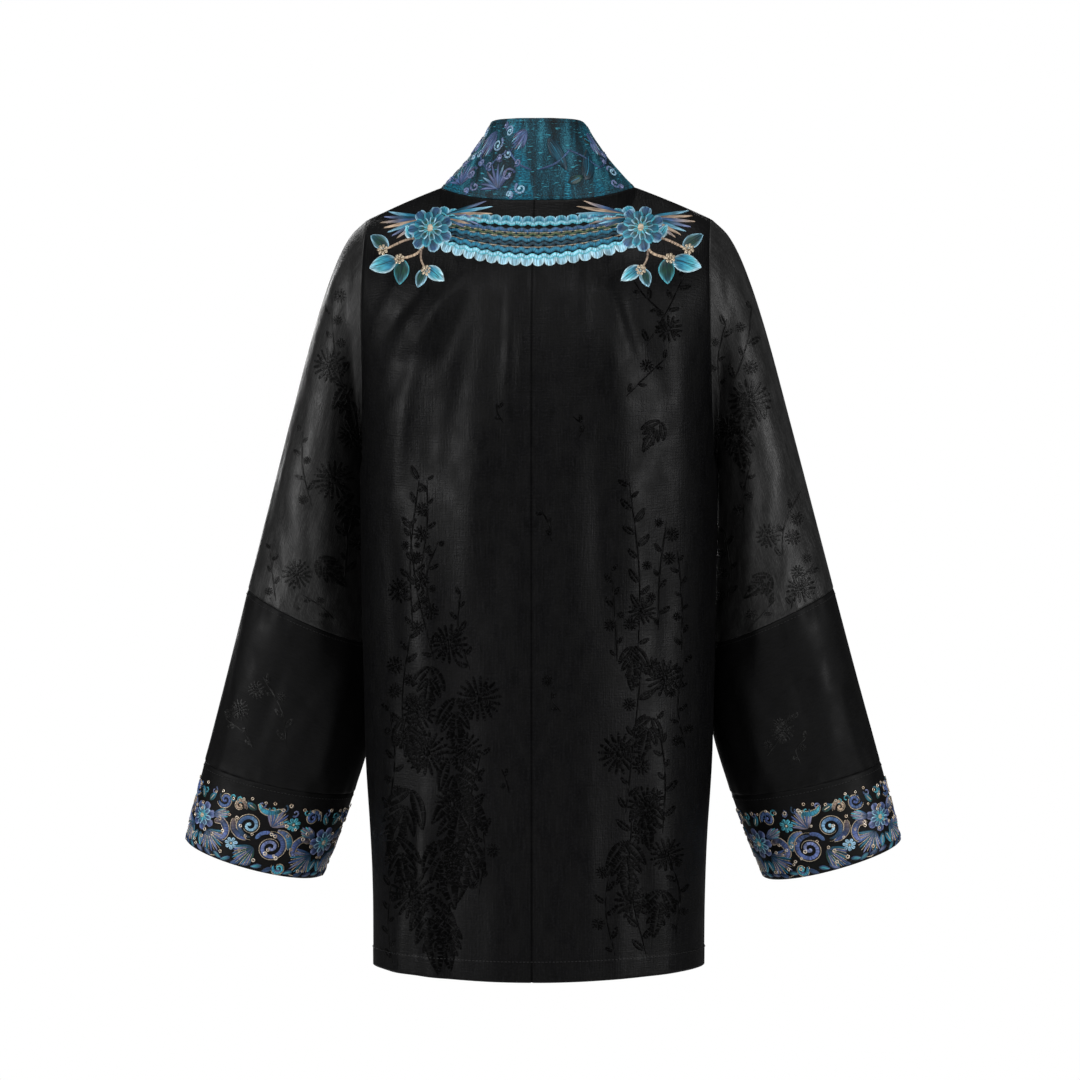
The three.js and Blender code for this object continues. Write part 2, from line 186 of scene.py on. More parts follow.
SMALL_FOLDS = {
    "back": [
        [28, -86, 29, -190, 3, -1.6],
        [74, -96, 128, -176, 8, 2.6],
        [90, -96, 152, -230, 9, -3.0],
        [118, -180, 140, -330, 7, 2.4],
        [56, -120, 96, -330, 12, -2.6],
        [128, -84, 158, -140, 8, 2.0],
        [-96, -130, -100, -430, 42, -3.2],
        [-74, -92, -100, -180, 5, 1.8],
        [12, -84, 9, -150, 4, 1.2],
        [-53, -82, -55, -150, 3, -1.6],
        [-46, -82, -45, -128, 4, 1.3],
        [60, -100, 96, -190, 8, -2.2],
        [104, -96, 150, -150, 7, -2.0],
        [96, -210, 110, -330, 9, -1.8],
        [52, -240, 64, -420, 14, 2.0],
        [142, -330, 136, -470, 8, -1.8],
        [66, -520, 74, -700, 12, -1.8],
        [120, -620, 112, -780, 7, -2.2],
        [104, -610, 132, -800, 17, 3.4],
        [132, -120, 96, -176, 13, 2.6],
        [134, -480, 150, -700, 9, 2.2],
        [100, -560, 128, -760, 9, 1.8],
        [84, -700, 80, -790, 7, -1.6],
        [36, -690, 34, -790, 12, 1.8],
        [-30, -120, -32, -300, 9, -1.4],
        [-84, -96, -118, -190, 8, -2.0],
        [-112, -180, -124, -330, 10, 2.2],
        [-66, -260, -70, -450, 12, -2.0],
        [-136, -380, -128, -520, 9, -2.0],
        [-54, -560, -60, -760, 13, 2.0],
        [-106, -620, -112, -790, 8, -2.0],
        [-86, -660, -84, -790, 9, 1.6],
    ],
    "front": [
        [140, -120, 150, -260, 8, -2.0],
        [100, -140, 106, -340, 9, 1.6],
        [140, -440, 146, -700, 9, -2.0],
        [98, -560, 100, -790, 8, 1.8],
        [-136, -130, -150, -270, 8, -2.0],
        [-98, -160, -106, -330, 9, 1.6],
        [-146, -420, -140, -700, 9, -2.0],
        [-96, -600, -98, -790, 8, 1.8],
    ],
    "sleeveBehind": [
        [186, -64, 192, -150, 5, -1.8],
        [214, -120, 232, -230, 7, 1.8],
        [196, -190, 204, -330, 8, -2.0],
        [262, -330, 240, -440, 6, 1.6],
        [196, -400, 236, -452, 7, 2.0],
        [214, -500, 268, -590, 8, 2.2],
        [252, -470, 284, -560, 7, -1.8],
        [300, -500, 322, -590, 6, 1.6],
        [-188, -70, -196, -160, 5, -1.8],
        [-218, -140, -236, -260, 7, 1.8],
        [-196, -210, -208, -340, 8, -2.0],
        [-258, -330, -232, -440, 6, 1.6],
        [-194, -410, -232, -456, 7, 2.0],
        [-216, -510, -266, -590, 8, 2.2],
        [-250, -470, -280, -560, 7, -1.8],
        [-298, -500, -320, -586, 6, 1.6],
    ],
    "sleeveBefore": [
        [190, -70, 200, -180, 7, -2.0],
        [224, -340, 262, -430, 9, 2.0],
        [210, -520, 250, -590, 9, -2.0],
        [280, -460, 310, -590, 8, 1.8],
        [-190, -80, -206, -200, 7, -2.0],
        [-226, -350, -258, -430, 9, 2.0],
        [-212, -520, -252, -590, 9, -2.0],
        [-284, -460, -312, -590, 8, 1.8],
    ],
}


def lerp(start, end, part):
    return start + (end - start) * part


def smooth(value, low, high):
    part = np.clip((value - low) / (high - low), 0, 1)
    return part * part * (3 - 2 * part)


def along(rows, column, at):
    """One column of a table at any place between its rows, on a smooth curve through them."""
    places, values = rows["at"], rows[column]
    last = len(places) - 1
    row = np.clip(np.searchsorted(places, at) - 1, 0, last - 1)
    low = np.maximum(np.arange(last + 1) - 1, 0)
    high = np.minimum(np.arange(last + 1) + 1, last)
    slope = (values[high] - values[low]) / (places[high] - places[low])
    span = places[row + 1] - places[row]
    part = (at - places[row]) / span
    lean = slope[row] * part * (1 - part) ** 2 - slope[row + 1] * part ** 2 * (1 - part)
    return lerp(values[row], values[row + 1], part * part * (3 - 2 * part)) + span * lean


def point(x, y, z):
    return np.stack(np.broadcast_arrays(x, y, z), -1).astype(float)


def listed(rows, name, at):
    """The place that a table's X, Y and Z columns of one name give."""
    return point(*(along(rows, name + axis, at) for axis in "XYZ"))


def spot(start, end, part):
    return lerp(start, end, np.asarray(part, float)[..., None])


def armhole(share, facing):
    climb = lerp(share, np.sin(share * np.pi / 2), 0.75)
    place = spot(UNDERARM, SHOULDER_POINT, climb)
    place[..., 1] += facing * ARMHOLE_DEPTH * np.sin(share * np.pi)
    return place


def shoulder_line(share):
    place = spot(NECK_POINT, SHOULDER_POINT, share)
    place[..., 2] += 4 * share * (1 - share)
    return place


def back_neck(share):
    bow = np.maximum(0, 1 - share ** 2) ** 0.75
    return point(NECK_POINT[0] * share, lerp(NECK_POINT[1], NECK_BACK[1], bow),
                 lerp(NECK_BACK[2], NECK_POINT[2], share ** 3))


def side_edge(at, facing):
    below = point(along(BACK, "sideX", at), 0, along(BACK, "sideZ", at))
    return np.where((at > 1)[..., None], armhole(np.maximum(at - 1, 0), facing), below)


def section(inner, side, across, bend_round, bend_square):
    """A level line of a panel, from its inner edge to its side edge, bending round as the body does."""
    bend = np.maximum(0, 1 - across ** bend_round) ** (1 / bend_square)
    return point(lerp(inner[..., 0], side[..., 0], across), lerp(side[..., 1], inner[..., 1], bend),
                 lerp(inner[..., 2], side[..., 2], across ** 2))


def back_point(across, at):
    def level(height):
        middle_y, middle_z, bend_round, bend_square, bunch = (
            along(BACK, column, height) for column in ("middleY", "middleZ", "round", "square", "bunch"))
        bunched = lerp(across, np.sin(across * np.pi / 2), bunch)
        return section(point(0, middle_y, middle_z), side_edge(height, 1), bunched, bend_round, bend_square)
    neck = back_neck(np.minimum(across / NECK_SHARE, 1))
    shoulder = shoulder_line(np.maximum(across - NECK_SHARE, 0) / (1 - NECK_SHARE))
    top = np.where((across < NECK_SHARE)[..., None], neck, shoulder)
    rise = smooth(at, 1.5, 2) ** 2
    return level(at) + (top - level(np.full_like(at, 2.0))) * rise[..., None]


def front_point(across, at):
    bunched = lerp(across, np.sin(across * np.pi / 2), 1 - smooth(at, 1, 1.7))
    place = section(listed(FRONT, "seam", at), side_edge(at, -1), bunched, along(FRONT, "round", at),
                    along(FRONT, "square", at))
    straight = section(NECK_POINT, SHOULDER_POINT, across, 1.0, 1.0)
    rise = smooth(at, 1.6, 2) ** 2
    return place + (shoulder_line(across) - straight) * rise[..., None]


def collar_point(across, length):
    """On the band: 0 is the centre back, 1 the neck point and 3 the hem; across, 0 is the seam."""
    behind = (length < 1)[..., None]
    height = np.clip(3 - length, 0, 2)
    early = np.clip(length, 0, 1)
    seam = np.where(behind, back_neck(early), front_point(np.zeros_like(height), height))
    hollow = COLLAR_HOLLOW * np.exp(-(((length - 0.95) / 0.35) ** 2)) * 4 * across * (1 - across)
    free = np.where(behind, listed(COLLAR, "free", early), listed(FRONT, "free", height))
    place = spot(seam, free, across)
    place[..., 0] -= hollow * 0.8
    place[..., 2] -= hollow * 0.6
    return place


def sleeve_point(turn, at):
    """On the sleeve: `turn` goes from the underside, 0, over the back to the outside, 1, and on to 2."""
    facing = np.where(turn > 1, -1.0, 1.0)
    share = np.where(turn > 1, 2 - turn, turn)
    folded = lerp(share, np.sin(share * np.pi / 2), 0.75)
    climb = lerp((1 - np.cos(share * np.pi)) / 2, folded, along(SLEEVE, "fold", at))
    reach = facing * along(SLEEVE, "depth", at) * np.sin(share * np.pi)
    place = spot(listed(SLEEVE, "inner", at), listed(SLEEVE, "outer", at), climb)
    place[..., 1] += reach
    place[..., 2] -= reach * along(SLEEVE, "drop", at)
    return place


SURFACES = {
    "back": dict(point=back_point, turned=-1, high=2, round=False),
    "front": dict(point=front_point, turned=1, high=2, round=False),
    "collar": dict(point=collar_point, turned=1, high=3, round=False),
    "sleeve": dict(point=sleeve_point, turned=1, high=3, round=True),
}


def unit(vectors):
    return vectors / np.maximum(np.linalg.norm(vectors, axis=-1, keepdims=True), 1e-9)


def outward(name, u, v):
    form = SURFACES[name]
    step = 1e-3

    def move(value):
        return np.mod(value + 2, 2) if form["round"] else np.clip(value, 0, 1)
    over_u = form["point"](move(u + step), v) - form["point"](move(u - step), v)
    over_v = form["point"](u, np.clip(v + step, 0, form["high"]))
    over_v = over_v - form["point"](u, np.clip(v - step, 0, form["high"]))
    return unit(np.cross(over_u, over_v)) * form["turned"]


def fold_lift(folds, side, places):
    lift = np.zeros(places.shape[:-1])
    seen = places[..., [0, 2]] * [side, 1]
    for x, z, to_x, to_z, width, height in folds:
        run = np.array([to_x - x, to_z - z])
        offset = seen - [x, z]
        share = np.clip(offset @ run / (run @ run), 0, 1)
        distance = np.linalg.norm(offset - share[..., None] * run, axis=-1)
        taper = np.sin(np.pi * lerp(0.12, 0.95, share))
        lift += height * np.exp(-((distance / width) ** 2)) * taper
    return lift


def to_round_seam(v):
    """How far along the sleeve the nearest seam round it is, its armhole included."""
    return np.minimum(np.minimum(v, np.abs(v - 1)), np.abs(v - 2))


def seam_fade(name, u, v):
    if name == "collar":
        return np.zeros_like(u)
    if name == "sleeve":
        fade = smooth(np.sin(u * np.pi) ** 2, 0, 0.3) * smooth(to_round_seam(v), 0, 0.2)
        return fade * (v < 2)
    return smooth(np.minimum(u, 1 - u), 0, 0.14) * smooth(2 - v, 0, 0.3)


def mirrored(side, *vectors):
    """The same places or ways on the wearer's left, 1, or right, -1."""
    return [values * [side, 1, 1] for values in vectors]


def drape(places, side):
    """The slow, uneven rise and fall of hanging silk, in millimetres."""
    x, y, z = mirrored(side, places)[0].T
    slow = np.sin(x / 31 + 1.3 * np.sin(z / 143 + 0.4)) * np.sin(z / 97 + y / 61 + 0.9)
    middle = np.sin(x / 13.7 + 0.8 * np.sin(z / 67) + y / 19) * np.sin(z / 71 + 2.2)
    fine = np.sin(x / 6.1 + z / 43 + y / 9) * np.sin(z / 29 + x / 37 + 1.1)
    return (0.9 * slow + 0.45 * middle + 0.16 * fine).T


SIDE_SWELL = 3.8             # how far the side seam swells out below the sleeve
SWELL_START = {"back": 0.86, "front": 0.93}
UNDERARM_BLEND = 0.16        # the body's form is evened out this far above and below the underarm
EVEN_REACH = 0.12            # and there each place takes on the form up to this far above and below it
PUCKER_REACH = 0.09          # of a sleeve's length, on both sides of a seam that runs round it


def puckers(u, v):
    """The short ripples that a seam round the sleeve draws into the cloth; the stiff cuff has none."""
    lift = np.zeros_like(u)
    for seam, count in ((1.0, 17), (2.0, 23)):
        wave = np.sin(u * np.pi * count + 1.7 * np.sin(u * np.pi * 3))
        lift += 0.45 * wave * np.exp(-((v - seam) / PUCKER_REACH) ** 2) * (v < 2.001)
    return lift


def evened(name, u, v):
    """The cut's own form; on the body the bend at the underarm's height is spread out, except at the seam."""
    base, normal = SURFACES[name]["point"](u, v), outward(name, u, v)
    if name in ("back", "front"):
        near = np.abs(v - 1) < UNDERARM_BLEND
        share = (1 - smooth(u, 0.9, 1)) * (1 - smooth(np.abs(v - 1), 0.4 * UNDERARM_BLEND, UNDERARM_BLEND))
        places, normals, total = 0, 0, 0
        for offset in np.linspace(-EVEN_REACH, EVEN_REACH, 9):
            weight = math.exp(-(offset / (EVEN_REACH / 2)) ** 2)
            places = places + weight * SURFACES[name]["point"](u[near], v[near] + offset)
            normals = normals + weight * outward(name, u[near], v[near] + offset)
            total += weight
        part = share[near][..., None]
        base[near] = lerp(base[near], places / total, part)
        normal[near] = unit(lerp(normal[near], normals / total, part))
    return base, normal


def folds_at(name, side, u, places):
    """The lift of the large folds and of the small ones."""
    for folds in (LARGE_FOLDS, SMALL_FOLDS):
        if name == "sleeve":
            behind, before = (fold_lift(folds[face], side, places) for face in ("sleeveBehind", "sleeveBefore"))
            yield np.where((u < 1) | (u == 2), behind, before)
        else:
            yield fold_lift(folds.get(name, ()), side, places)


def lifted(name, side, u, v):
    """The outer face of the cloth, folds and all, and the way out of it, on the left half unmirrored."""
    base, normal = evened(name, u, v)
    large, small = folds_at(name, side, u, base)
    lift = large * seam_fade(name, u, v)
    if name == "collar":
        lift = lift + CROWN * smooth(np.minimum(u, 1 - u), 0, 0.35)
    elif name == "sleeve":
        soft = smooth(np.sin(u * np.pi) ** 2, 0, 0.12) * smooth(to_round_seam(v), 0, 0.06)
        soft = soft * np.where(v > 2, 0.35, 1)
        lift = lift + (small + drape(base, side)) * soft + puckers(u, v)
    else:
        soft = smooth(np.minimum(u, 1 - u), 0, 0.05) * smooth(2 - v, 0, 0.05)
        lift = lift + (small + drape(base, side)) * soft
        below = smooth(v, 0.2, 0.45) * (1 - smooth(v, 0.95, 1))
        base[..., 0] += SIDE_SWELL * smooth(u, SWELL_START[name], 1) * below
    return base + normal * lift[..., None], normal


# ---------------------------------------- materials
def linear(colour):
    """An sRGB hex colour as linear red, green, blue and alpha."""
    values = [int(colour[k:k + 2], 16) / 255 for k in (1, 3, 5)]
    return [v / 12.92 if v <= 0.04045 else ((v + 0.055) / 1.055) ** 2.4 for v in values] + [1.0]


def add(tree, kind, settings=None, **inputs):
    """A node with its settings, and its sockets by name or number: values, or other nodes' outputs."""
    made = tree.nodes.new(kind)
    for name, value in (settings or {}).items():
        setattr(made, name, value)
    for name, value in inputs.items():
        key = int(name[1:]) if name[1:].isdigit() else name.replace("_", " ")
        socket = made.inputs[key]
        if isinstance(value, bpy.types.NodeSocket):
            tree.links.new(value, socket)
        else:
            socket.default_value = value
    return made


def ramp(tree, factor, stops):
    made = add(tree, "ShaderNodeValToRGB", Fac=factor)
    ends = made.color_ramp.elements
    while len(ends) < len(stops):
        ends.new(0.5)
    for end, (place, colour) in zip(ends, stops):
        end.position = place
        end.color = linear(colour)
    return made.outputs["Color"]


def blank_material(name):
    made = bpy.data.materials.new(name)
    made.use_nodes = True
    made.node_tree.nodes.clear()
    return made, made.node_tree


def finish_material(made, tree, **inputs):
    shader = add(tree, "ShaderNodeBsdfPrincipled", **inputs)
    output = add(tree, "ShaderNodeOutputMaterial")
    tree.links.new(shader.outputs[0], output.inputs[0])
    return made


def cloth_lines(tree):
    """The cloth's own coordinates in millimetres: x across the weft, y along the warp."""
    uv = add(tree, "ShaderNodeUVMap", {"uv_map": "cloth"})
    return add(tree, "ShaderNodeMapping", {"vector_type": "POINT"}, Vector=uv.outputs[0],
               Scale=(1000, 1000, 1000)).outputs[0]


def blank_cloth(name):
    made, tree = blank_material(name)
    return made, tree, cloth_lines(tree)


def noise(tree, lines, x, y, detail, dimensions="3D"):
    """Noise in the cloth, each patch of it about x by y millimetres."""
    stretched = add(tree, "ShaderNodeMapping", {"vector_type": "POINT"}, Vector=lines, Scale=(1 / x, 1 / y, 1))
    return add(tree, "ShaderNodeTexNoise", {"noise_dimensions": dimensions}, Vector=stretched.outputs[0],
               Scale=1.0, Detail=detail).outputs[0]


def object_noise(tree, scale, detail):
    """Noise by place, for what has no cloth coordinates."""
    place = add(tree, "ShaderNodeTexCoord")
    return add(tree, "ShaderNodeTexNoise", Vector=place.outputs["Object"], Scale=scale,
               Detail=detail).outputs[0]


def remap(tree, value, low, high, start=0.0, end=1.0):
    return add(tree, "ShaderNodeMapRange", Value=value, _1=low, _2=high, _3=start, _4=end).outputs[0]


def combine(tree, operation, one, two):
    return add(tree, "ShaderNodeMath", {"operation": operation}, _0=one, _1=two).outputs[0]


def blend(tree, factor, one, two, blend_type="MIX"):
    """Two colours mixed."""
    return add(tree, "ShaderNodeMix", {"data_type": "RGBA", "blend_type": blend_type}, _0=factor, _6=one,
               _7=two).outputs[2]


def halfway(tree, one, two):
    """The middle of two numbers."""
    return add(tree, "ShaderNodeMix", {"data_type": "FLOAT"}, _0=0.5, _2=one, _3=two).outputs[0]


def relief(tree, height, strength, distance):
    return add(tree, "ShaderNodeBump", Strength=strength, Distance=distance, Height=height).outputs[0]


PAINTED_SEAM_SHADOW_REACH = 1.6             # how far from a piece's first edge the painted seam shadow reaches, in millimetres


def black_satin(name, dark, middle, light, specular):
    """Silk satin: long warp floats give a soft, broad gleam over near-black dye, with faint slubs."""
    made, tree, lines = blank_cloth(name)
    slub, pick = noise(tree, lines, 1.5, 24, 3.0), noise(tree, lines, 16, 1.4, 2.0)
    cloud, grain = noise(tree, lines, 17, 26, 4.0), noise(tree, lines, 2.2, 2.2, 3.0)
    dye = ramp(tree, halfway(tree, slub, grain), [(0.38, dark), (0.5, middle), (0.62, light)])
    worn = remap(tree, cloud, 0.34, 0.66, 0.6, 1.4)
    # Painted shadow: colour and specular are darkened near a piece's first edge, where the pressed seam turns
    # the cloth in.
    across = add(tree, "ShaderNodeSeparateXYZ", Vector=lines)
    painted_seam_shadow = remap(tree, across.outputs["X"], 0.2, PAINTED_SEAM_SHADOW_REACH, 0.4, 1.0)
    colour = blend(tree, 1.0, dye, combine(tree, "MULTIPLY", worn, painted_seam_shadow), "MULTIPLY")
    weave = combine(tree, "ADD", combine(tree, "ADD", slub, pick), grain)
    tangent = add(tree, "ShaderNodeTangent", {"direction_type": "UV_MAP", "uv_map": "cloth"})
    return finish_material(made, tree, Base_Color=colour, Roughness=remap(tree, cloud, 0.34, 0.66, 0.52, 0.36),
                           Normal=relief(tree, weave, 0.8, 0.0003), Anisotropic=0.3,
                           Specular_IOR_Level=combine(tree, "MULTIPLY", painted_seam_shadow, specular),
                           Tangent=tangent.outputs[0])


def plain_satin():
    """The plain silk of the lower sleeves and cuffs: closer woven, so it gleams less than the satin."""
    made, tree, lines = blank_cloth("black_plain_silk")
    weft, cloud = noise(tree, lines, 9, 1.2, 3.0), noise(tree, lines, 22, 30, 4.0)
    return finish_material(made, tree, Base_Color=ramp(tree, weft, [(0.3, "#050505"), (0.7, "#0d0d0e")]),
                           Roughness=remap(tree, cloud, 0.34, 0.66, 0.66, 0.46),
                           Normal=relief(tree, weft, 0.7, 0.0003), Specular_IOR_Level=0.13)


def satin_wrong_side():
    """The inside of the satin: the same dye without the floats, so it stays flat and dark."""
    made, tree, lines = blank_cloth("black_silk_wrong_side")
    thread = noise(tree, lines, 1.4, 5, 2.0)
    return finish_material(made, tree, Base_Color=ramp(tree, thread, [(0.3, "#0f0f10"), (0.7, "#171718")]),
                           Roughness=0.75, Normal=relief(tree, thread, 0.3, 0.0002), Specular_IOR_Level=0.2)


def collar_silk():
    """Silk woven in teal and petrol: speckled tweed in dark and grey bands, turquoise twill, aqua dashes."""
    made, tree, lines = blank_cloth("teal_woven_silk")
    speckle, bands = noise(tree, lines, 1.6, 1.1, 3.0), noise(tree, lines, 60, 13, 3.0, "2D")
    tweed = ramp(tree, halfway(tree, bands, speckle),
                 [(0.36, "#020f15"), (0.46, "#062833"), (0.54, "#0f4252"), (0.64, "#2f7486")])
    twill = ramp(tree, noise(tree, lines, 1.1, 3.2, 2.0),
                 [(0.3, "#02242f"), (0.5, "#064a5e"), (0.68, "#167a94")])
    zone = remap(tree, noise(tree, lines, 190, 40, 2.0, "2D"), 0.52, 0.545)
    dash = remap(tree, noise(tree, lines, 1.5, 9, 1.0), 0.66, 0.71, 0.0, 0.7)
    colour = blend(tree, dash, blend(tree, zone, tweed, twill), linear("#3fa3b8"))
    return finish_material(made, tree, Base_Color=colour, Roughness=0.62,
                           Normal=relief(tree, speckle, 0.55, 0.0004), Specular_IOR_Level=0.25)


def embroidery_thread():
    """Rayon embroidery thread in satin stitch: dyed thread by thread, with a soft gleam along it."""
    made, tree, lines = blank_cloth("rayon_embroidery_thread")
    dye = add(tree, "ShaderNodeVertexColor", {"layer_name": "thread"})
    # Threads lie 0.4 mm apart; they are drawn 1.3 mm apart so that they show.
    threads = noise(tree, lines, 1.3, 11, 2.0)
    colour = blend(tree, 1.0, dye.outputs[0], remap(tree, threads, 0.34, 0.66, 0.38, 1.3), "MULTIPLY")
    return finish_material(made, tree, Base_Color=colour, Roughness=0.42,
                           Normal=relief(tree, threads, 0.8, 0.0004), Specular_IOR_Level=0.35)


def metal_thread():
    """Metal-wrapped thread: fine champagne windings that catch the light unevenly."""
    made, tree, lines = blank_cloth("metal_wrapped_thread")
    wound = noise(tree, lines, 1.2, 1.2, 2.0)
    return finish_material(made, tree, Base_Color=ramp(tree, wound, [(0.35, "#8a7a66"), (0.6, "#cfc0a8")]),
                           Roughness=0.4, Metallic=0.55, Normal=relief(tree, wound, 0.7, 0.0004))


def woven_figure(name, dark, middle, light, specular):
    """The figure woven into the satin: weft floats instead of warp floats, so it gleams less; its lightest
    threads are painted glints.
    """
    made, tree, lines = blank_cloth(name)
    ribs = noise(tree, lines, 8, 1.2, 2.0)
    # Painted highlight: the lightest stop of the ramp makes some threads glint.
    colour = ramp(tree, ribs, [(0.40, dark), (0.53, middle), (0.64, light)])
    return finish_material(made, tree, Base_Color=colour, Roughness=0.38,
                           Normal=relief(tree, ribs, 0.8, 0.0005), Specular_IOR_Level=specular)


def ring_bead():
    """Small ring beads of silvered glass: bright, warm and smooth."""
    made, tree = blank_material("silvered_glass_bead")
    colour = ramp(tree, object_noise(tree, 90.0, 1.0), [(0.35, "#b09c86"), (0.65, "#e2d6c6")])
    return finish_material(made, tree, Base_Color=colour, Roughness=0.22, Metallic=0.6)


def sewing_thread():
    """Black sewing thread, a little lighter than the dye of the silk under it."""
    made, tree = blank_material("black_sewing_thread")
    colour = ramp(tree, object_noise(tree, 700.0, 1.0), [(0.3, "#161616"), (0.7, "#242425")])
    return finish_material(made, tree, Base_Color=colour, Roughness=0.5, Specular_IOR_Level=0.3)


# ---------------------------------------- meshes
def new_object(name, verts, faces, materials, smooth_faces=True):
    """A mesh object at the origin, from points in millimetres."""
    mesh = bpy.data.meshes.new(name)
    mesh.from_pydata((np.asarray(verts) * MM).tolist(), [], faces)
    for material in materials:
        mesh.materials.append(material)
    mesh.polygons.foreach_set("use_smooth", np.full(len(mesh.polygons), smooth_faces))
    mesh.validate()
    return in_scene(name, mesh)


def dress(made, slot):
    """Every piece rides on the one body; `slot` is not used."""
    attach(made, "root")


def grid_quads(number):
    """The four corners of each cell in a grid of numbered points."""
    return np.stack([number[:-1, :-1], number[1:, :-1], number[1:, 1:], number[:-1, 1:]], -1).reshape(-1, 4)


def running_length(line):
    """The length of a line up to each of its points."""
    return np.concatenate([[0], np.cumsum(np.linalg.norm(np.diff(line, axis=0), axis=1))])


def set_uv(mesh, per_vertex):
    """Cloth coordinates in metres, one for each vertex."""
    layer = mesh.uv_layers.new(name="cloth")
    corners = np.empty(len(mesh.loops), int)
    mesh.loops.foreach_get("vertex_index", corners)
    layer.data.foreach_set("uv", (np.asarray(per_vertex)[corners] * MM).ravel())


# ---------------------------------------- panels
SHELL = 1.3                  # the shown wall's thickness
SEAM_DIP = 0.7               # how far a seamed edge rolls in
# Rows of points beside the centre back, where the halves lie level with each other.
LEVEL_MIDDLE = {"back": (slice(0, 2), slice(None)), "collar": (slice(None), slice(0, 2))}
CROWN = 1.6                  # how full the interfaced collar band stands between its edges
BODY_LENGTH = 520            # of the side seam, from the hem to the underarm
HEM = 20                     # depth of the turned hem
HEM_RISE = 0.3               # how much the doubled hem stands proud
SEAM_ROWS = (1.3, 3.2)       # extra rows of points beside a seam, in millimetres from it
FREE_SWELL = 0.55            # how far a free edge of the wall swells out
SEAM_SWELL = {"collar": 0.3}  # and a seamed edge; 0.02 on the other pieces
SEWN_WITHIN = 0.6            # edges closer than this are sewn together


def spread(count, low, high, length, seam_low=True, seam_high=True, extra=()):
    """Even steps, with a few finer ones beside the seams; `length` is the run's length in millimetres."""
    values = set(np.linspace(low, high, count + 1).round(9))
    for reach in SEAM_ROWS:
        share = reach / length * (high - low)
        if seam_low:
            values.add(round(low + share, 9))
        if seam_high:
            values.add(round(high - share, 9))
    for reach in extra:
        values.add(round(low + reach / length * (high - low), 9))
    return np.array(sorted(values))


# The steps along each run: how many, from, to, the run's length, and rows beside a hem or a free edge.
NECK_ROWS = spread(26, 0, 1, 100, seam_high=False)
SHOULDER_ROWS = spread(26, 0, 1, 76, seam_low=False)
ARMHOLE_ROWS = spread(62, 0, 1, 280, seam_low=False)
BODY_ROWS = spread(118, 0, 1, BODY_LENGTH, seam_low=False, seam_high=False,
                   extra=(2, HEM - 3, HEM - 1, HEM + 1, HEM + 3))
BAND_ROWS = spread(16, 0, 1, 66, extra=(63,))

BACK_ACROSS = np.concatenate([NECK_ROWS * NECK_SHARE, lerp(NECK_SHARE, 1, SHOULDER_ROWS)[1:]])
HEIGHTS = np.concatenate([BODY_ROWS, 1 + ARMHOLE_ROWS[1:]])
BAND_LENGTHS = np.concatenate([NECK_ROWS, (3 - HEIGHTS)[::-1][1:]])
SLEEVE_TURNS = np.concatenate([ARMHOLE_ROWS, (2 - ARMHOLE_ROWS)[::-1][1:-1]])
UPPER_ROWS = spread(80, 0, 1, 390)
LOWER_ROWS = spread(36, 1, 2, 180)
CUFF_ROWS = spread(20, 2, 3, 88, seam_high=False, extra=(86,))


class Panel:
    """One cut piece: a grid of points on the outer face, by place across (u) and along (v)."""

    def __init__(self, name, surface, side, us, vs, seams):
        self.name, self.surface, self.side, self.seams = name, surface, side, seams
        self.round = SURFACES[surface]["round"]
        self.u, self.v = np.meshgrid(us, vs, indexing="ij")
        self.outer, self.normal = mirrored(side, *lifted(surface, side, self.u, self.v))
        if surface in ("back", "front"):
            hem = smooth(HEM / BODY_LENGTH - self.v, -0.0015, 0.0015)
            self.outer += self.normal * (hem * HEM_RISE)[..., None]

    def borders(self):
        """The grid places of each seamed edge."""
        last_u, last_v = self.u.shape[0] - 1, self.u.shape[1] - 1
        everywhere_u, everywhere_v = np.arange(last_u + 1), np.arange(last_v + 1)
        lines = {"start": (0, everywhere_v), "end": (last_u, everywhere_v),
                 "low": (everywhere_u, 0), "high": (everywhere_u, last_v)}
        for edge in self.seams:
            i, j = np.broadcast_arrays(*lines[edge])
            yield edge, i, j


def share_seams(panels):
    """Edges that are sewn together roll in the same way, so that they meet all along the seam."""
    edges = [(panel, i, j) for panel in panels for _, rows, columns in panel.borders()
             for i, j in zip(rows, columns)]
    tree = KDTree(len(edges))
    for k, (panel, i, j) in enumerate(edges):
        tree.insert(panel.outer[i, j], k)
    tree.balance()
    for panel in panels:
        panel.inward = -panel.normal.copy()
    fixed = []
    for panel, i, j in edges:
        # Cloth that faces the other way doesn't count.
        own = panel.normal[i, j]
        total = np.zeros(3)
        for _, k, _ in tree.find_range(panel.outer[i, j], SEWN_WITHIN):
            other, a, b = edges[k]
            facing = other.normal[a, b]
            total += facing * smooth(own @ facing, -0.6, 0)
        fixed.append(-total / max(np.linalg.norm(total), 1e-9))
    for (panel, i, j), way in zip(edges, fixed):
        panel.inward[i, j] = way


def roll_seams(panel):
    """Lowers a seamed edge, and the cloth beside it a little, so that the seam is a soft groove."""
    depth = np.zeros(panel.u.shape)
    for _, i, j in panel.borders():
        depth[i, j] = SEAM_DIP
    everywhere = slice(None)
    beside = {"start": (1, everywhere), "end": (-2, everywhere),
              "low": (everywhere, 1), "high": (everywhere, -2)}
    for edge in panel.seams:
        depth[beside[edge]] = np.maximum(depth[beside[edge]], SEAM_DIP * 0.3)
    if panel.surface in LEVEL_MIDDLE:
        depth[LEVEL_MIDDLE[panel.surface]] = 0
    panel.outer += panel.inward * depth[..., None]


def arc_lengths(grid, axis):
    steps = np.linalg.norm(np.diff(grid, axis=axis), axis=-1)
    pad = [(0, 0), (0, 0)]
    pad[axis] = (1, 0)
    return np.pad(np.cumsum(steps, axis=axis), pad)


def crisp_edge(mesh, along):
    """Keeps the edge through these points crisp, so that its seam reads as a dark line."""
    ends = np.empty(len(mesh.edges) * 2, np.int32)
    mesh.edges.foreach_get("vertices", ends)
    mesh.edges.foreach_set("use_edge_sharp", np.isin(ends.reshape(-1, 2), along).all(axis=1))


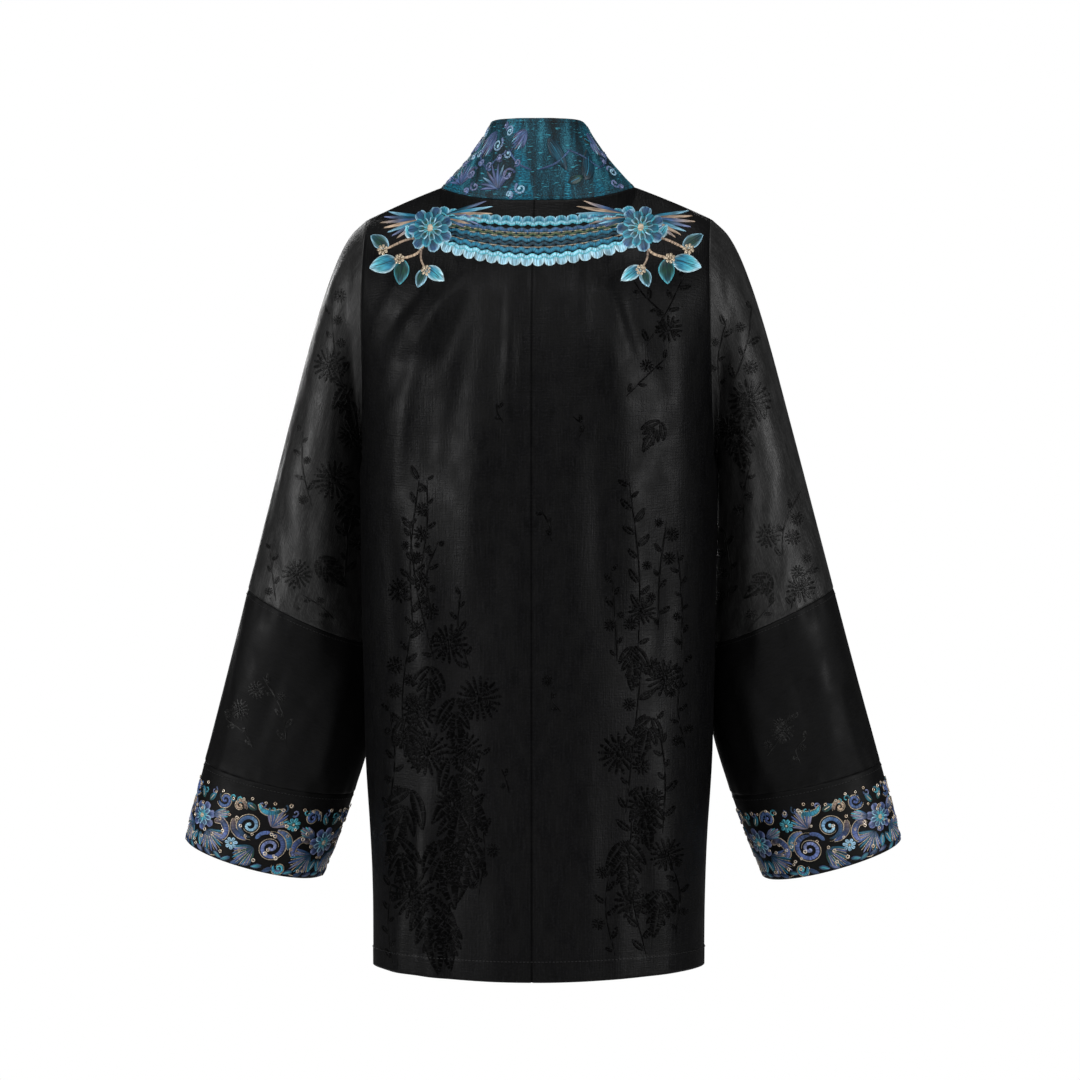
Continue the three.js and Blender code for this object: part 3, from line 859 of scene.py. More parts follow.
def build_panel(panel, right_side, wrong_side):
    """The panel as a closed wall: outer face, inner face, and rounded rims between them."""
    count_u, count_v = panel.u.shape
    outer = panel.outer.reshape(-1, 3)
    inner = (panel.outer + panel.inward * SHELL).reshape(-1, 3)
    verts = [outer, inner]
    turned = SURFACES[panel.surface]["turned"] * panel.side > 0
    number = np.arange(count_u * count_v).reshape(count_u, count_v)
    if panel.round:
        number = np.vstack([number, number[:1]])
    faces = grid_quads(number)
    size = count_u * count_v
    outer_faces = faces if turned else faces[:, ::-1]
    inner_faces = (faces[:, ::-1] if turned else faces) + size
    if panel.round:
        ring = np.arange(count_u)
        loops = [(number[ring, 0], number[ring, 1]), (number[ring, -1][::-1], number[ring, -2][::-1])]
    else:
        last_u, last_v = count_u - 1, count_v - 1
        i = np.concatenate([np.arange(last_u), np.full(last_v, last_u),
                            np.arange(last_u, 0, -1), np.zeros(last_v, int)])
        j = np.concatenate([np.zeros(last_u, int), np.arange(last_v),
                            np.full(last_u, last_v), np.arange(last_v, 0, -1)])
        within = number[np.clip(i, 1, last_u - 1), np.clip(j, 1, last_v - 1)]
        loops = [(number[i, j], within)]
    rims = []
    total = 2 * size
    seamed = np.zeros(size, bool)
    for _, i, j in panel.borders():
        seamed[number[i, j]] = True
    for loop, within in loops:
        swell = np.where(seamed[loop], SEAM_SWELL.get(panel.surface, 0.02), FREE_SWELL)
        away = unit(outer[loop] - outer[within]) * swell[:, None]
        verts.append((outer[loop] + inner[loop]) / 2 + away)
        middle = total + np.arange(len(loop))
        total += len(loop)
        ahead, middle_ahead = np.roll(loop, -1), np.roll(middle, -1)
        rims.append(np.stack([ahead, loop, middle, middle_ahead], -1))
        rims.append(np.stack([middle_ahead, middle, loop + size, ahead + size], -1))
    rims = np.concatenate(rims)
    rims = rims if turned else rims[:, ::-1]
    faces = np.concatenate([outer_faces, rims, inner_faces])
    made = new_object(f"cloth_{panel.name}", np.concatenate(verts), faces.tolist(), [right_side, wrong_side])
    if panel.surface == "back":
        crisp_edge(made.data, number[0])
    wrong = np.zeros(len(faces), int)
    wrong[len(outer_faces) + len(rims):] = 1
    made.data.polygons.foreach_set("material_index", wrong)
    across, lengths = (arc_lengths(panel.outer, axis) for axis in (0, 1))
    cloth = np.stack([across, lengths * (panel.side if panel.surface == "collar" else 1)], -1).reshape(-1, 2)
    tail = np.concatenate([cloth[loop] for loop, _ in loops])
    set_uv(made.data, np.concatenate([cloth, cloth, tail]))
    return made


# ---------------------------------------- needlework
PALE_BLUE, ICE, AQUA = "#9fd0e6", "#c6e6f0", "#54b3c4"
TEAL, PETROL, NIGHT = "#2b7d9c", "#12485c", "#0b2a38"
LAVENDER, PERIWINKLE, STEEL, SLATE = "#7f89b2", "#5467a0", "#3c5c88", "#273a5c"
DUSK = "#626f9c"
OLIVE, GREEN, TAUPE, BEIGE, CHAMPAGNE = "#7c7a48", "#1d4438", "#6d5c56", "#c3ab92", "#cdbca4"
BASE_LIFT = 0.12             # how far a patch's foot lies off the cloth's face
FOOT_SINK = 0.3              # how deep the sides of a stitched patch go into the cloth
CUFF_DEPTH = 86              # from a cuff's seam to its edge
BAND_DEPTH = 68              # from the collar band's seam to its free edge
STITCH_STEP = 1.7            # between two rows of points along a stitched shape
FIGURE_STEP = 2.8            # the same along a woven one
TOO_STEEP = 9.0              # two rows further apart than this lie on different cloth
RIM = (0.5, 1.8)             # a rim's dye gives way to the shape's own between these distances from its edge
RING_RISE = 0.35             # how much higher each ring of a rosette lies than the last
RAY_START = 400              # how far out the rays that look for the cloth begin
# Where the points of a row lie across a stitched shape, from one side to the other.
WALLS = np.array([-1, -0.97, -0.8, -0.45, 0, 0.45, 0.8, 0.97, 1])
THIN_WALLS = np.array([-1, -0.9, 0, 0.9, 1])


class Ground:
    """A stretch of cloth to stitch on: two numbers in millimetres give a place on it and the way out.

    `length` is the length of a band, which the first of the two numbers runs along.
    """

    def __init__(self, places, length=None):
        self.places, self.length = places, length

    def __call__(self, flat):
        return self.places(np.asarray(flat, float))


def seen_ground(panels, facing):
    """Places by (x, z), as seen straight from behind, 1, or from the front, -1."""
    verts, faces, start = [], [], 0
    for panel in panels:
        grid = panel.outer
        number = np.arange(grid.shape[0] * grid.shape[1]).reshape(grid.shape[:2]) + start
        if panel.round:
            number = np.vstack([number, number[:1]])
        verts.append(grid.reshape(-1, 3))
        faces += grid_quads(number).tolist()
        start += grid.shape[0] * grid.shape[1]
    tree = BVHTree.FromPolygons(np.concatenate(verts).tolist(), faces)
    way = Vector((0, -facing, 0))

    def places(flat):
        found, normals = np.full((len(flat), 3), np.nan), np.zeros((len(flat), 3))
        for k, (x, z) in enumerate(flat):
            place, normal, _, _ = tree.ray_cast(Vector((x, RAY_START * facing, z)), way)
            if place is not None:
                found[k] = place
                normals[k] = normal if normal[1] * facing > 0 else -normal
        return found, normals
    return Ground(places)


def cuff_ground(side):
    """Places by the way round the cuff, from its underside over the back, and down from its seam."""
    turns = np.linspace(0, 2, 241)
    ring = sleeve_point(np.mod(turns, 2), np.full_like(turns, 2.5))
    reach = running_length(ring)

    def places(flat):
        turn = np.interp(np.mod(flat[:, 0], reach[-1]), reach, turns) % 2
        return mirrored(side, *lifted("sleeve", side, turn, 2 + np.clip(flat[:, 1] / CUFF_DEPTH, 0, 1)))
    return Ground(places, reach[-1])


def collar_ground(side):
    """Places by the way along the band from the centre back, and across it from its seam."""
    lengths = np.linspace(0, 3, 601)
    line = collar_point(np.full_like(lengths, 0.5), lengths)
    reach = running_length(line)

    def places(flat):
        length = np.interp(flat[:, 0], reach, lengths)
        return mirrored(side, *lifted("collar", side, np.clip(flat[:, 1] / BAND_DEPTH, 0, 1), length))
    return Ground(places, reach[-1])


def sideways(line):
    """The way to the left of a flat line, at each of its points."""
    way = unit(np.gradient(line, axis=0))
    return np.stack([-way[:, 1], way[:, 0]], -1)


def between(values, reach, at):
    """Rows of values that belong to the lengths `reach`, read at other lengths."""
    return np.stack([np.interp(at, reach, column) for column in values.T], -1)


def rgb(colour):
    return np.array(linear(colour)[:3])


class Needlework:
    """Stitched shapes gathered into one mesh, each a low cushion of thread with its own run of dyes."""

    def __init__(self, name, seed, ground=None, step=STITCH_STEP):
        self.name, self.chance, self.ground, self.step = name, random.Random(seed), ground, step
        self.verts, self.faces, self.dyes, self.threads, self.count = [], [], [], [], 0

    def stroke(self, spine, halves, dyes, height=0.7, lift=0.0, rim=None, across=False):
        """A cushion along a spine. `dyes` run from its start to its end and `rim` edges it."""
        spine = np.asarray(spine, float)
        reach = running_length(spine)
        count = max(5, int(reach[-1] / self.step) + 1)
        at = np.linspace(0, reach[-1], count)
        line = between(spine, reach, at)
        half = np.interp(at / reach[-1], np.linspace(0, 1, len(halves)), halves)
        aside = sideways(line)
        walls = WALLS if half.max() > 0.8 else THIN_WALLS
        flat = line[:, None] + aside[:, None] * (half[:, None] * walls)[..., None]
        places, normals = self.ground(flat.reshape(-1, 2))
        grid = places.reshape(count, len(walls), 3)
        if not max(np.linalg.norm(np.diff(grid, axis=axis), axis=-1).max() for axis in (0, 1)) < TOO_STEEP:
            return                   # it would run off the cloth's edge
        share = at / reach[-1]
        end = np.clip(np.minimum(share, 1 - share) * reach[-1] / np.maximum(half.max(), 0.5), 0, 1)
        dome = np.sqrt(np.maximum(1 - walls ** 2, 0)) * np.sqrt(end * (2 - end))[:, None]
        rise = lift + BASE_LIFT + height * dome
        rise[:, [0, -1]] = lift * 0.5 - FOOT_SINK
        rise[[0, -1]] = lift * 0.5 - FOOT_SINK
        places = places + normals * rise.reshape(-1)[:, None]
        tint = between(np.array([rgb(dye) for dye in dyes]), np.linspace(0, 1, len(dyes)), share)
        tint = np.repeat(tint[:, None], len(walls), 1)
        if rim:
            inside = np.minimum(half[:, None] * (1 - np.abs(walls)), (1 - share)[:, None] * reach[-1])
            edge = 1 - smooth(inside, *RIM)
            tint = tint + (rgb(rim) - tint) * edge[..., None]
        tint = tint * self.chance.uniform(0.85, 1.12)
        shift = self.chance.uniform(0, 500)
        one, two = half[:, None] * walls + shift, np.repeat(at[:, None], len(walls), 1) + shift
        threads = np.stack([two, one] if across else [one, two], -1)
        number = np.arange(count * len(walls)).reshape(count, len(walls)) + self.count
        quads = grid_quads(number)
        grid = places.reshape(count, len(walls), 3)
        middle, centre = count // 2, len(walls) // 2
        over = np.cross(grid[middle + 1, centre] - grid[middle, centre],
                        grid[middle, centre + 1] - grid[middle, centre])
        facing = over @ normals.reshape(count, len(walls), 3)[middle, centre]
        self.faces.append(quads if facing > 0 else quads[:, ::-1])
        self.verts.append(places)
        self.dyes.append(tint.reshape(-1, 3))
        self.threads.append(threads.reshape(-1, 2))
        self.count += count * len(walls)

    def build(self, material, slot):
        made = new_object(self.name, np.concatenate(self.verts), np.concatenate(self.faces).tolist(),
                          [material])
        set_uv(made.data, np.concatenate(self.threads))
        dye = made.data.color_attributes.new("thread", "FLOAT_COLOR", "POINT")
        colours = np.concatenate(self.dyes)
        dye.data.foreach_set("color", np.column_stack([colours, np.ones(len(colours))]).ravel())
        dress(made, slot)


# Shapes: places and lengths in millimetres, angles in degrees, 0 to the ground's right and 90 up.
LINE_POINTS = 12


def compass(angle):
    """The way that an angle points."""
    return np.array([math.cos(math.radians(angle)), math.sin(math.radians(angle))])


def bent_line(base, angle, length, bend=0.0):
    """A line of even steps from `base`, turning by `bend` over its length."""
    heading = np.radians(angle + bend * np.linspace(0, 1, LINE_POINTS))
    steps = np.stack([np.cos(heading), np.sin(heading)], -1) * length / (LINE_POINTS - 1)
    return np.asarray(base, float) + np.concatenate([[[0, 0]], np.cumsum(steps[:-1], axis=0)])


def smooth_line(points, count=10):
    """A smooth line through a few points."""
    points = np.asarray(points, float)
    padded = np.concatenate([[2 * points[0] - points[1]], points, [2 * points[-1] - points[-2]]])
    t = np.linspace(0, 1, count, endpoint=False)[:, None]
    parts = []
    for a, b, c, d in zip(padded[:-3], padded[1:-2], padded[2:-1], padded[3:]):
        parts.append(0.5 * (2 * b + (c - a) * t + (2 * a - 5 * b + 4 * c - d) * t ** 2
                            + (3 * b - a - 3 * c + d) * t ** 3))
    return np.concatenate(parts + [points[-1:]])


# Half widths along a shape, from its start to its end.
SHARES = np.linspace(0, 1, 15)
TAPER = lerp(1.0, 0.55, SHARES)
LEAF_SHAPE = np.sin(np.pi * SHARES ** 0.85) ** 0.8
LOBE_SHAPE = np.sqrt(np.maximum(1 - SHARES ** 3.4, 0))
PETAL_SHAPE = np.sqrt(np.clip(SHARES * 1.15, 0, 1)) * np.sqrt(np.maximum(1 - SHARES ** 5, 0))
STEM_SHAPE = np.clip(np.minimum(SHARES, 1 - SHARES) * 8, 0.35, 1)


def leaf(work, base, angle, length, width, dyes, bend=0, vein=None, **more):
    line = bent_line(base, angle, length, bend)
    work.stroke(line, LEAF_SHAPE * width / 2, dyes, **more)
    if vein:
        work.stroke(line[1:-2], STEM_SHAPE * 0.45, [vein], height=0.25,
                    lift=more.get("lift", 0) + more.get("height", 0.7) * 0.85)


def petal(work, base, angle, length, width, dyes, **more):
    work.stroke(bent_line(base, angle, length), PETAL_SHAPE * width / 2, dyes, **more)


def rosette(work, centre, radius, count, rings, heart, lift=0.0):
    """Rings of petals, each smaller and higher than the last; `rings` lists (share, dyes, rim)."""
    centre = np.asarray(centre, float)
    for level, (share, dyes, rim) in enumerate(rings):
        reach = radius * share
        width = 2.25 * math.pi * reach * 0.62 / count
        for k in range(count):
            angle = 360 * (k + 0.5 * level) / count
            base = centre + 0.16 * reach * compass(angle)
            petal(work, base, angle, reach * 0.84, width, dyes, rim=rim, lift=lift + RING_RISE * level,
                  height=0.6)
    knot(work, centre, radius * 0.16, heart, lift + RING_RISE * len(rings) + 0.2)


def knot(work, centre, radius, dye, lift=0.0):
    line = np.asarray(centre, float) + np.array([[-radius, 0], [0, 0], [radius, 0]])
    work.stroke(line, np.sqrt(np.maximum(1 - np.linspace(-1, 1, 9) ** 2, 0.02)) * radius, [dye],
                height=0.9, lift=lift)


def spiral_line(centre, radius, turns, start, hand, core=0.12):
    t = np.linspace(0, 1, int(26 * turns) + 6)
    angle = np.radians(start) + hand * 2 * np.pi * turns * t
    reach = radius * lerp(1, core, t ** 0.9)
    return np.asarray(centre, float) + np.stack([np.cos(angle), np.sin(angle)], -1) * reach[:, None]


def scroll(work, metal, centre, radius, turns, start, hand, width, dyes):
    """A padded scroll that winds in to a knot, outlined with metal thread."""
    line = spiral_line(centre, radius, turns, start, hand)
    taper = TAPER * np.clip(SHARES * 6 + 0.3, 0, 1)
    work.stroke(line, taper * width / 2, dyes, across=True, height=0.9)
    knot(work, line[-1], width * 0.42, dyes[-1])
    outer = spiral_line(centre, radius + width * 0.62, turns * 0.8, start, hand, core=0.42)
    metal.stroke(outer, STEM_SHAPE * 0.42, [CHAMPAGNE], height=0.45)


def curl(work, centre, radius, turns, start, hand, core, width, dyes):
    """A fine curl of one or two rows of thread; gives back where it ends."""
    line = spiral_line(centre, radius, turns, start, hand, core)
    work.stroke(line, TAPER * width / 2, dyes, across=True, height=0.8)
    return line[-1]


def stem(work, points, width, dyes, **more):
    line = smooth_line(points)
    work.stroke(line, STEM_SHAPE * width / 2, dyes, across=True, **more)
    return line


FAN_SHRINK = 0.25            # how much shorter the outermost leaves of a fan are


def fan(work, base, angle, opening, count, length, width, sets, bend=0, edging=None, **more):
    """Slim leaves side by side from one place, the outer ones shorter, with metal thread between them."""
    for k in range(count):
        share = k / max(count - 1, 1) - 0.5
        reach = length * (1 - FAN_SHRINK * abs(share) * 2)
        leaf(work, base, angle + opening * share, reach, width, sets[k % len(sets)],
             bend=bend * share * 2, **more)
        if edging and k < count - 1:
            between = share + 0.5 / (count - 1)
            line = bent_line(base, angle + opening * between, reach * 0.96, bend * between * 2)
            edging.stroke(line[3:], [0.36, 0.3], [CHAMPAGNE], height=0.8, lift=0.1)


# ---------------------------------------- designs
# Every motif here is an ordinary one: lotus petals in rows, rosettes, leaves, fans and scrolls.
# The yoke is one hanging panel of petal rows under the collar, with a spray of leaves at each end.
YOKE_SPAN = 103              # from the centre back to the ends of the lowest row
YOKE_LOBES = 18


def yoke_line(drop, share):
    """A place on the line that hangs `drop` below the neck, from end, -1, to end, 1, and the way down."""
    span = YOKE_SPAN - 0.12 * (80 - drop)
    sag = 4 + 0.24 * drop
    place = np.array([span * share, -drop + sag * share ** 2])
    return place, math.degrees(math.atan2(-1, 2 * sag * share / span))


def yoke_band(work, drop, width, dyes, wave, lift, rim):
    """A band of long and short stitches along one hanging line, waved as the lobes beside it."""
    line = [yoke_line(drop + wave * math.cos(share * math.pi * YOKE_LOBES), share)[0]
            for share in np.linspace(-1, 1, 161)]
    work.stroke(line, STEM_SHAPE * width / 2, dyes, across=True, lift=lift, rim=rim, height=0.7)


def yoke_lobes(work, drop, length, width, dyes, rim, upward=False):
    """A row of round petals that hang from one line, or stand on it."""
    for k in range(YOKE_LOBES):
        share = (k - (YOKE_LOBES - 1) / 2) / (YOKE_LOBES / 2)
        place, angle = yoke_line(drop, share)
        work.stroke(bent_line(place, angle + 180 * upward, length), LOBE_SHAPE * width / 2, dyes,
                    rim=rim, height=0.8)


# From the lowest band up: drop, width, dye, wave, lift and rim.
YOKE_BANDS = [
    (71.0, 4.2, [PALE_BLUE], -1.2, 0.5, AQUA),
    (64.6, 5.0, [TEAL], -1.4, 0.1, PETROL),
    (58.8, 3.4, [PETROL], -1.4, 0.1, NIGHT),
    (53.8, 4.4, [TEAL], -1.2, 0.1, PETROL),
    (49.2, 2.6, [OLIVE], -1.2, 0.1, GREEN),
    (44.8, 4.2, [STEEL], -1.0, 0.1, PETROL),
    (38.0, 3.6, [PALE_BLUE], 1.0, 0.5, AQUA),
]


def embroider_yoke(work, metal):
    yoke_lobes(work, 70, 11.0, 12.6, (AQUA, PALE_BLUE, PALE_BLUE), ICE)
    for band in YOKE_BANDS[:-1]:
        yoke_band(work, *band)
    yoke_lobes(work, 38.5, 9.0, 12.4, (PETROL, TEAL, AQUA), PALE_BLUE, upward=True)
    yoke_band(work, *YOKE_BANDS[-1])
    for drop in (61.6, 51.4, 47.2):
        line = [yoke_line(drop, share)[0] for share in np.linspace(-0.98, 0.98, 81)]
        metal.stroke(line, [0.4, 0.4], [TAUPE], height=0.5, lift=0.1)
    for side in (1, -1):
        def at(x, z):
            return np.array([side * x, z])

        def turned(angle):
            return angle if side > 0 else 180 - angle
        slim = [(NIGHT, STEEL, BEIGE), (NIGHT, PETROL, LAVENDER), (PETROL, TEAL, PALE_BLUE), (TAUPE, BEIGE)]
        fan(work, at(108, -30), turned(-4), 50, 9, 50, 4.0, slim, bend=10, lift=0.2)
        fan(work, at(90, -27), turned(176), 34, 6, 52, 3.6, slim, bend=10, lift=0.2)
        fan(work, at(92, -30), turned(190), 22, 4, 34, 3.4, slim[1:], bend=10, lift=0.5)
        stem(work, [at(106, -50), at(116, -66), at(134, -72)], 2.4, [BEIGE], lift=0.2)
        stem(work, [at(108, -50), at(128, -52), at(150, -62)], 2.2, [TAUPE, BEIGE], lift=0.2)
        stem(work, [at(112, -58), at(112, -72), at(106, -84)], 2.0, [TAUPE, BEIGE], lift=0.2)
        pale, dark = (PETROL, TEAL, AQUA, PALE_BLUE), (NIGHT, GREEN, PETROL)
        for x, z, angle, length, width, dyes, rim in (
                (136, -73, -14, 30, 19, pale, ICE), (130, -72, -84, 26, 16, dark, AQUA),
                (146, -60, 34, 24, 14, dark, PALE_BLUE), (122, -52, 62, 18, 10, pale, ICE),
                (106, -80, -142, 24, 14, pale, ICE), (108, -82, -72, 20, 12, dark, PALE_BLUE)):
            leaf(work, at(x, z), turned(angle), length, width, dyes,
                 rim=rim, vein=NIGHT, lift=0.2, height=1.0)
        rosette(work, at(104, -42), 24, 7,
                [(1.0, (NIGHT, PETROL, STEEL), PALE_BLUE), (0.78, (NIGHT, PETROL, TEAL), AQUA),
                 (0.56, (NIGHT, GREEN, TEAL), PALE_BLUE), (0.34, (OLIVE, TEAL), AQUA)], CHAMPAGNE, lift=1.0)
        for x, z in ((152, -62), (134, -72), (106, -84)):
            rosette(metal, at(x, z), 6.0, 7, [(1.0, (TAUPE, CHAMPAGNE), CHAMPAGNE)], BEIGE, lift=0.9)


def padded_leaf_scroll(work, metal, points, width, dyes):
    """A thick tapering leaf that curls over, couched round with metal thread."""
    line = smooth_line(points)
    belly = np.sin(np.pi * SHARES ** 0.7) ** 0.6 * width / 2
    work.stroke(line, belly, dyes, across=True, height=1.1)
    aside = sideways(line)
    reach = np.interp(np.linspace(0, 1, len(line)), SHARES, belly)[:, None] + 0.45
    for hand in (1, -1):
        metal.stroke(line + aside * reach * hand, [0.42, 0.42], [CHAMPAGNE], height=0.45)


def cuff_rosette_unit(work, metal, at, turned):
    rosette(work, at(0, 3), 17, 7,
            [(1.0, (NIGHT, SLATE, PERIWINKLE), LAVENDER), (0.7, (NIGHT, STEEL), PALE_BLUE),
             (0.42, (NIGHT, TEAL), AQUA)], CHAMPAGNE)
    for hand in (1, -1):
        def way(angle):
            return turned(angle if hand > 0 else 180 - angle)
        fan(work, at(hand * 11, -9), way(-44), 96, 9, 27, 3.9,
            [(NIGHT, STEEL, PERIWINKLE), (SLATE, LAVENDER), (NIGHT, TEAL)], bend=24, edging=metal)
        fan(work, at(hand * 14, 8), way(24), 56, 6, 21, 3.6,
            [(SLATE, LAVENDER), (NIGHT, STEEL, AQUA)], bend=-20, edging=metal)
        scroll(work, metal, at(hand * 24, 26), 7.5, 1.35, way(200), hand, 3.6, (STEEL, PERIWINKLE))
        leaf(work, at(hand * 4, 20), way(58), 13, 6, (GREEN, TEAL), vein=CHAMPAGNE)
        curled = [at(hand * 17, 2), at(hand * 27, 5), at(hand * 34, -2), at(hand * 33, -11), at(hand * 27, -12)]
        padded_leaf_scroll(work, metal, curled, 6.4, (TAUPE, SLATE, PERIWINKLE, LAVENDER))
        leaf(work, at(hand * 2, -14), way(-72), 16, 6.5, (NIGHT, TEAL, AQUA), vein=CHAMPAGNE)
        metal.stroke(smooth_line([at(hand * 8, -16), at(hand * 20, -31), at(hand * 35, -30)], 6),
                     [0.45, 0.45], [CHAMPAGNE], height=0.4)


def cuff_scroll_unit(work, metal, at, turned):
    hand = -1 if turned(0) == 0 else 1
    scroll(work, metal, at(-14, -8), 15, 1.6, turned(70), hand, 5.4, (SLATE, PERIWINKLE, LAVENDER))
    scroll(work, metal, at(15, 9), 13, 1.5, turned(250), hand, 5.0, (NIGHT, STEEL, PALE_BLUE))
    stem(work, [at(-9, 7), at(0, 4), at(5, -3)], 4.2, [PERIWINKLE, STEEL])
    padded_leaf_scroll(work, metal, [at(-34, -8), at(-31, 2), at(-24, 8), at(-15, 10)], 6.0,
                       (NIGHT, TEAL, STEEL, LAVENDER))
    padded_leaf_scroll(work, metal, [at(34, 12), at(31, 2), at(23, -4), at(14, -6)], 6.0,
                       (TAUPE, SLATE, PERIWINKLE))
    padded_leaf_scroll(work, metal, [at(-14, 29), at(-4, 25), at(6, 26), at(12, 31)], 5.0,
                       (GREEN, TEAL, AQUA))
    fan(work, at(4, -12), turned(-52), 100, 9, 27, 3.9,
        [(NIGHT, PETROL, TEAL), (SLATE, PERIWINKLE), (NIGHT, GREEN, STEEL)], bend=-26, edging=metal)
    fan(work, at(-8, 12), turned(112), 86, 7, 22, 3.6,
        [(TAUPE, LAVENDER), (NIGHT, STEEL, AQUA), (SLATE, PERIWINKLE)], bend=22, edging=metal)
    rosette(work, at(29, -14), 7.5, 7, [(1.0, (SLATE, LAVENDER), PALE_BLUE)], CHAMPAGNE)
    rosette(work, at(-30, 18), 7.5, 7, [(1.0, (NIGHT, TEAL), AQUA)], CHAMPAGNE)
    scroll(work, metal, at(-30, -27), 6.5, 1.3, turned(20), 1, 3.4, (TEAL, AQUA))
    scroll(work, metal, at(31, 25), 6.0, 1.3, turned(200), 1, 3.2, (TAUPE, BEIGE))
    leaf(work, at(12, 25), turned(20), 13, 6.5, (NIGHT, GREEN, TEAL), vein=CHAMPAGNE)


CUFF_UNITS = 6
CUFF_MIDDLE = 50             # from the cuff's seam to the middle of the design
CUFF_TOP = 15                # from the seam to the row of beads
BEAD_PITCH = 8.4


def embroider_cuff(work, metal, chance):
    """Rosettes and scrolls in turn round the cuff; gives back where its beads go."""
    around = work.ground.length
    pitch = around / CUFF_UNITS
    beads = []
    place = 0.0
    while place < around - BEAD_PITCH:
        beads.append((place, CUFF_TOP + chance.uniform(-2.4, 3.4)))
        place += BEAD_PITCH * chance.uniform(0.75, 1.7)
    for unit_number in range(CUFF_UNITS):
        middle = (unit_number + 0.5) * pitch
        hand = 1 if unit_number % 4 < 2 else -1

        def at(x, y):
            return np.array([middle + hand * x * pitch / 73, CUFF_MIDDLE - y * 1.08])

        def turned(angle):
            return -angle if hand > 0 else angle - 180
        drawn = cuff_rosette_unit if unit_number % 2 == 0 else cuff_scroll_unit
        drawn(work, metal, at, turned)
        for k in range(6):
            x, dyes = (k - 2.5) * 12.2, [(SLATE, LAVENDER), (NIGHT, STEEL), (PETROL, AQUA)][k % 3]
            leaf(work, at(x - 5, -27.5), turned(chance.uniform(-34, -12)), 12.5, 5.0, dyes, rim=SLATE)
            curl(work, at(x + 2, 28.5 + (k % 2) * 2), 3.7, 1.0, chance.uniform(0, 360), (-1) ** k, 0.3, 1.9,
                 dyes)
        for _ in range(17):
            beads.append((middle + chance.uniform(-36, 36), chance.uniform(CUFF_TOP + 5, 80)))
    return beads


BAND_MIDDLE = 33             # from the band's seam to the middle of its design


def embroider_collar(work, side):
    """Feathered leaves and fine curls along the band; on the right half fewer, and dark leaves instead."""
    chance = random.Random(61 + side)
    step = 20 if side > 0 else 30
    dull = [(SLATE, DUSK), (STEEL, DUSK), (NIGHT, STEEL, PALE_BLUE), (SLATE, DUSK, TAUPE)]
    pale = [(STEEL, LAVENDER), (DUSK, PALE_BLUE), (SLATE, LAVENDER)]
    for k in range(int((work.ground.length - 20) / step)):
        start, hand = 8 + k * step, 1 if k % 2 else -1
        if side > 0 or k % 3 == 2:
            fan(work, (start + 2, BAND_MIDDLE - hand * 25), 58 * hand + chance.uniform(-12, 12), 96, 9,
                chance.uniform(21, 27), 2.5, dull, bend=38 * hand)
            for x, y, radius in ((14, 13, 6.4), (4, 24, 5.2), (17, -5, 4.6), (9, 2, 3.8), (12, 29, 3.4)):
                centre = (start + x + chance.uniform(-2, 2), BAND_MIDDLE + hand * y)
                turns, begins, dyes = chance.uniform(0.9, 1.4), chance.uniform(0, 360), chance.choice(pale)
                knot(work, curl(work, centre, radius, turns, begins, hand, 0.25, 2.2, dyes), 1.5, dyes[-1])
        else:
            leaf(work, (start + 6, BAND_MIDDLE - hand * 18), 48 * hand, 32, 13, (NIGHT, PETROL, NIGHT),
                 rim=NIGHT, vein=TEAL, bend=30 * hand)
            leaf(work, (start + 20, BAND_MIDDLE + hand * 20), -20 * hand, 17, 7, (NIGHT, GREEN), vein=TEAL)
        bends = [(start + run, BAND_MIDDLE + hand * up) for run, up in ((-6, 9), (step * 0.4, 3), (step, -9))]
        stem(work, bends, 1.7, [SLATE, STEEL])


# ---------------------------------------- woven figures
FIGURE_RISE = 0.22


def figure_leaf(work, base, angle, length, width, bend=0):
    """A woven leaf: two halves with a bare vein between them."""
    for half in (1, -1):
        line = bent_line(base, angle, length, bend)
        aside = sideways(line)
        belly = np.sin(np.pi * np.linspace(0, 1, len(line)) ** 0.85)[:, None]
        work.stroke(line + aside * half * belly * width * 0.27, LEAF_SHAPE * width * 0.16 + 0.3,
                    ["#101010"], height=FIGURE_RISE, lift=0.12)


def figure_bloom(work, centre, radius, count, turn):
    for level, (share, number) in enumerate(((1.0, count + 6), (0.72, count + 2), (0.42, count - 2))):
        for k in range(number):
            angle = turn + 360 * (k + 0.5 * (level % 2)) / number
            base = np.asarray(centre) + 0.2 * radius * share * compass(angle)
            petal(work, base, angle, radius * share * 0.8, radius * share * 3.0 / number,
                  ["#121212"], height=FIGURE_RISE, lift=0.1 + 0.1 * level)
    knot(work, centre, radius * 0.16, "#161616", 0.2)


SPRIG_STEP = 12              # between two leaves along a branch
SPRIG_BLOOMS = 0.2           # the share of them that are blossoms instead


def figure_sprig(work, points, leaf_length, chance):
    """A branch with leaves on both sides and a blossom here and there."""
    line = stem(work, points, 1.5, ["#0f0f0f"], height=FIGURE_RISE, lift=0.1)
    reach = running_length(line)
    hand = 1
    for at in np.arange(SPRIG_STEP * 0.5, reach[-1], SPRIG_STEP):
        place, ahead = between(line, reach, at), between(line, reach, min(at + 2, reach[-1]))
        heading = math.degrees(math.atan2(*(ahead - place)[::-1])) if at + 2 < reach[-1] else 90
        hand = -hand
        angle = heading + hand * chance.uniform(38, 70)
        length = leaf_length * chance.uniform(0.7, 1.25)
        if chance.random() < SPRIG_BLOOMS:
            out = place + length * 0.7 * compass(angle)
            figure_bloom(work, out, length * chance.uniform(0.42, 0.6), 6, chance.uniform(0, 60))
        else:
            figure_leaf(work, place, angle, length, length * 0.42, bend=-hand * 25)


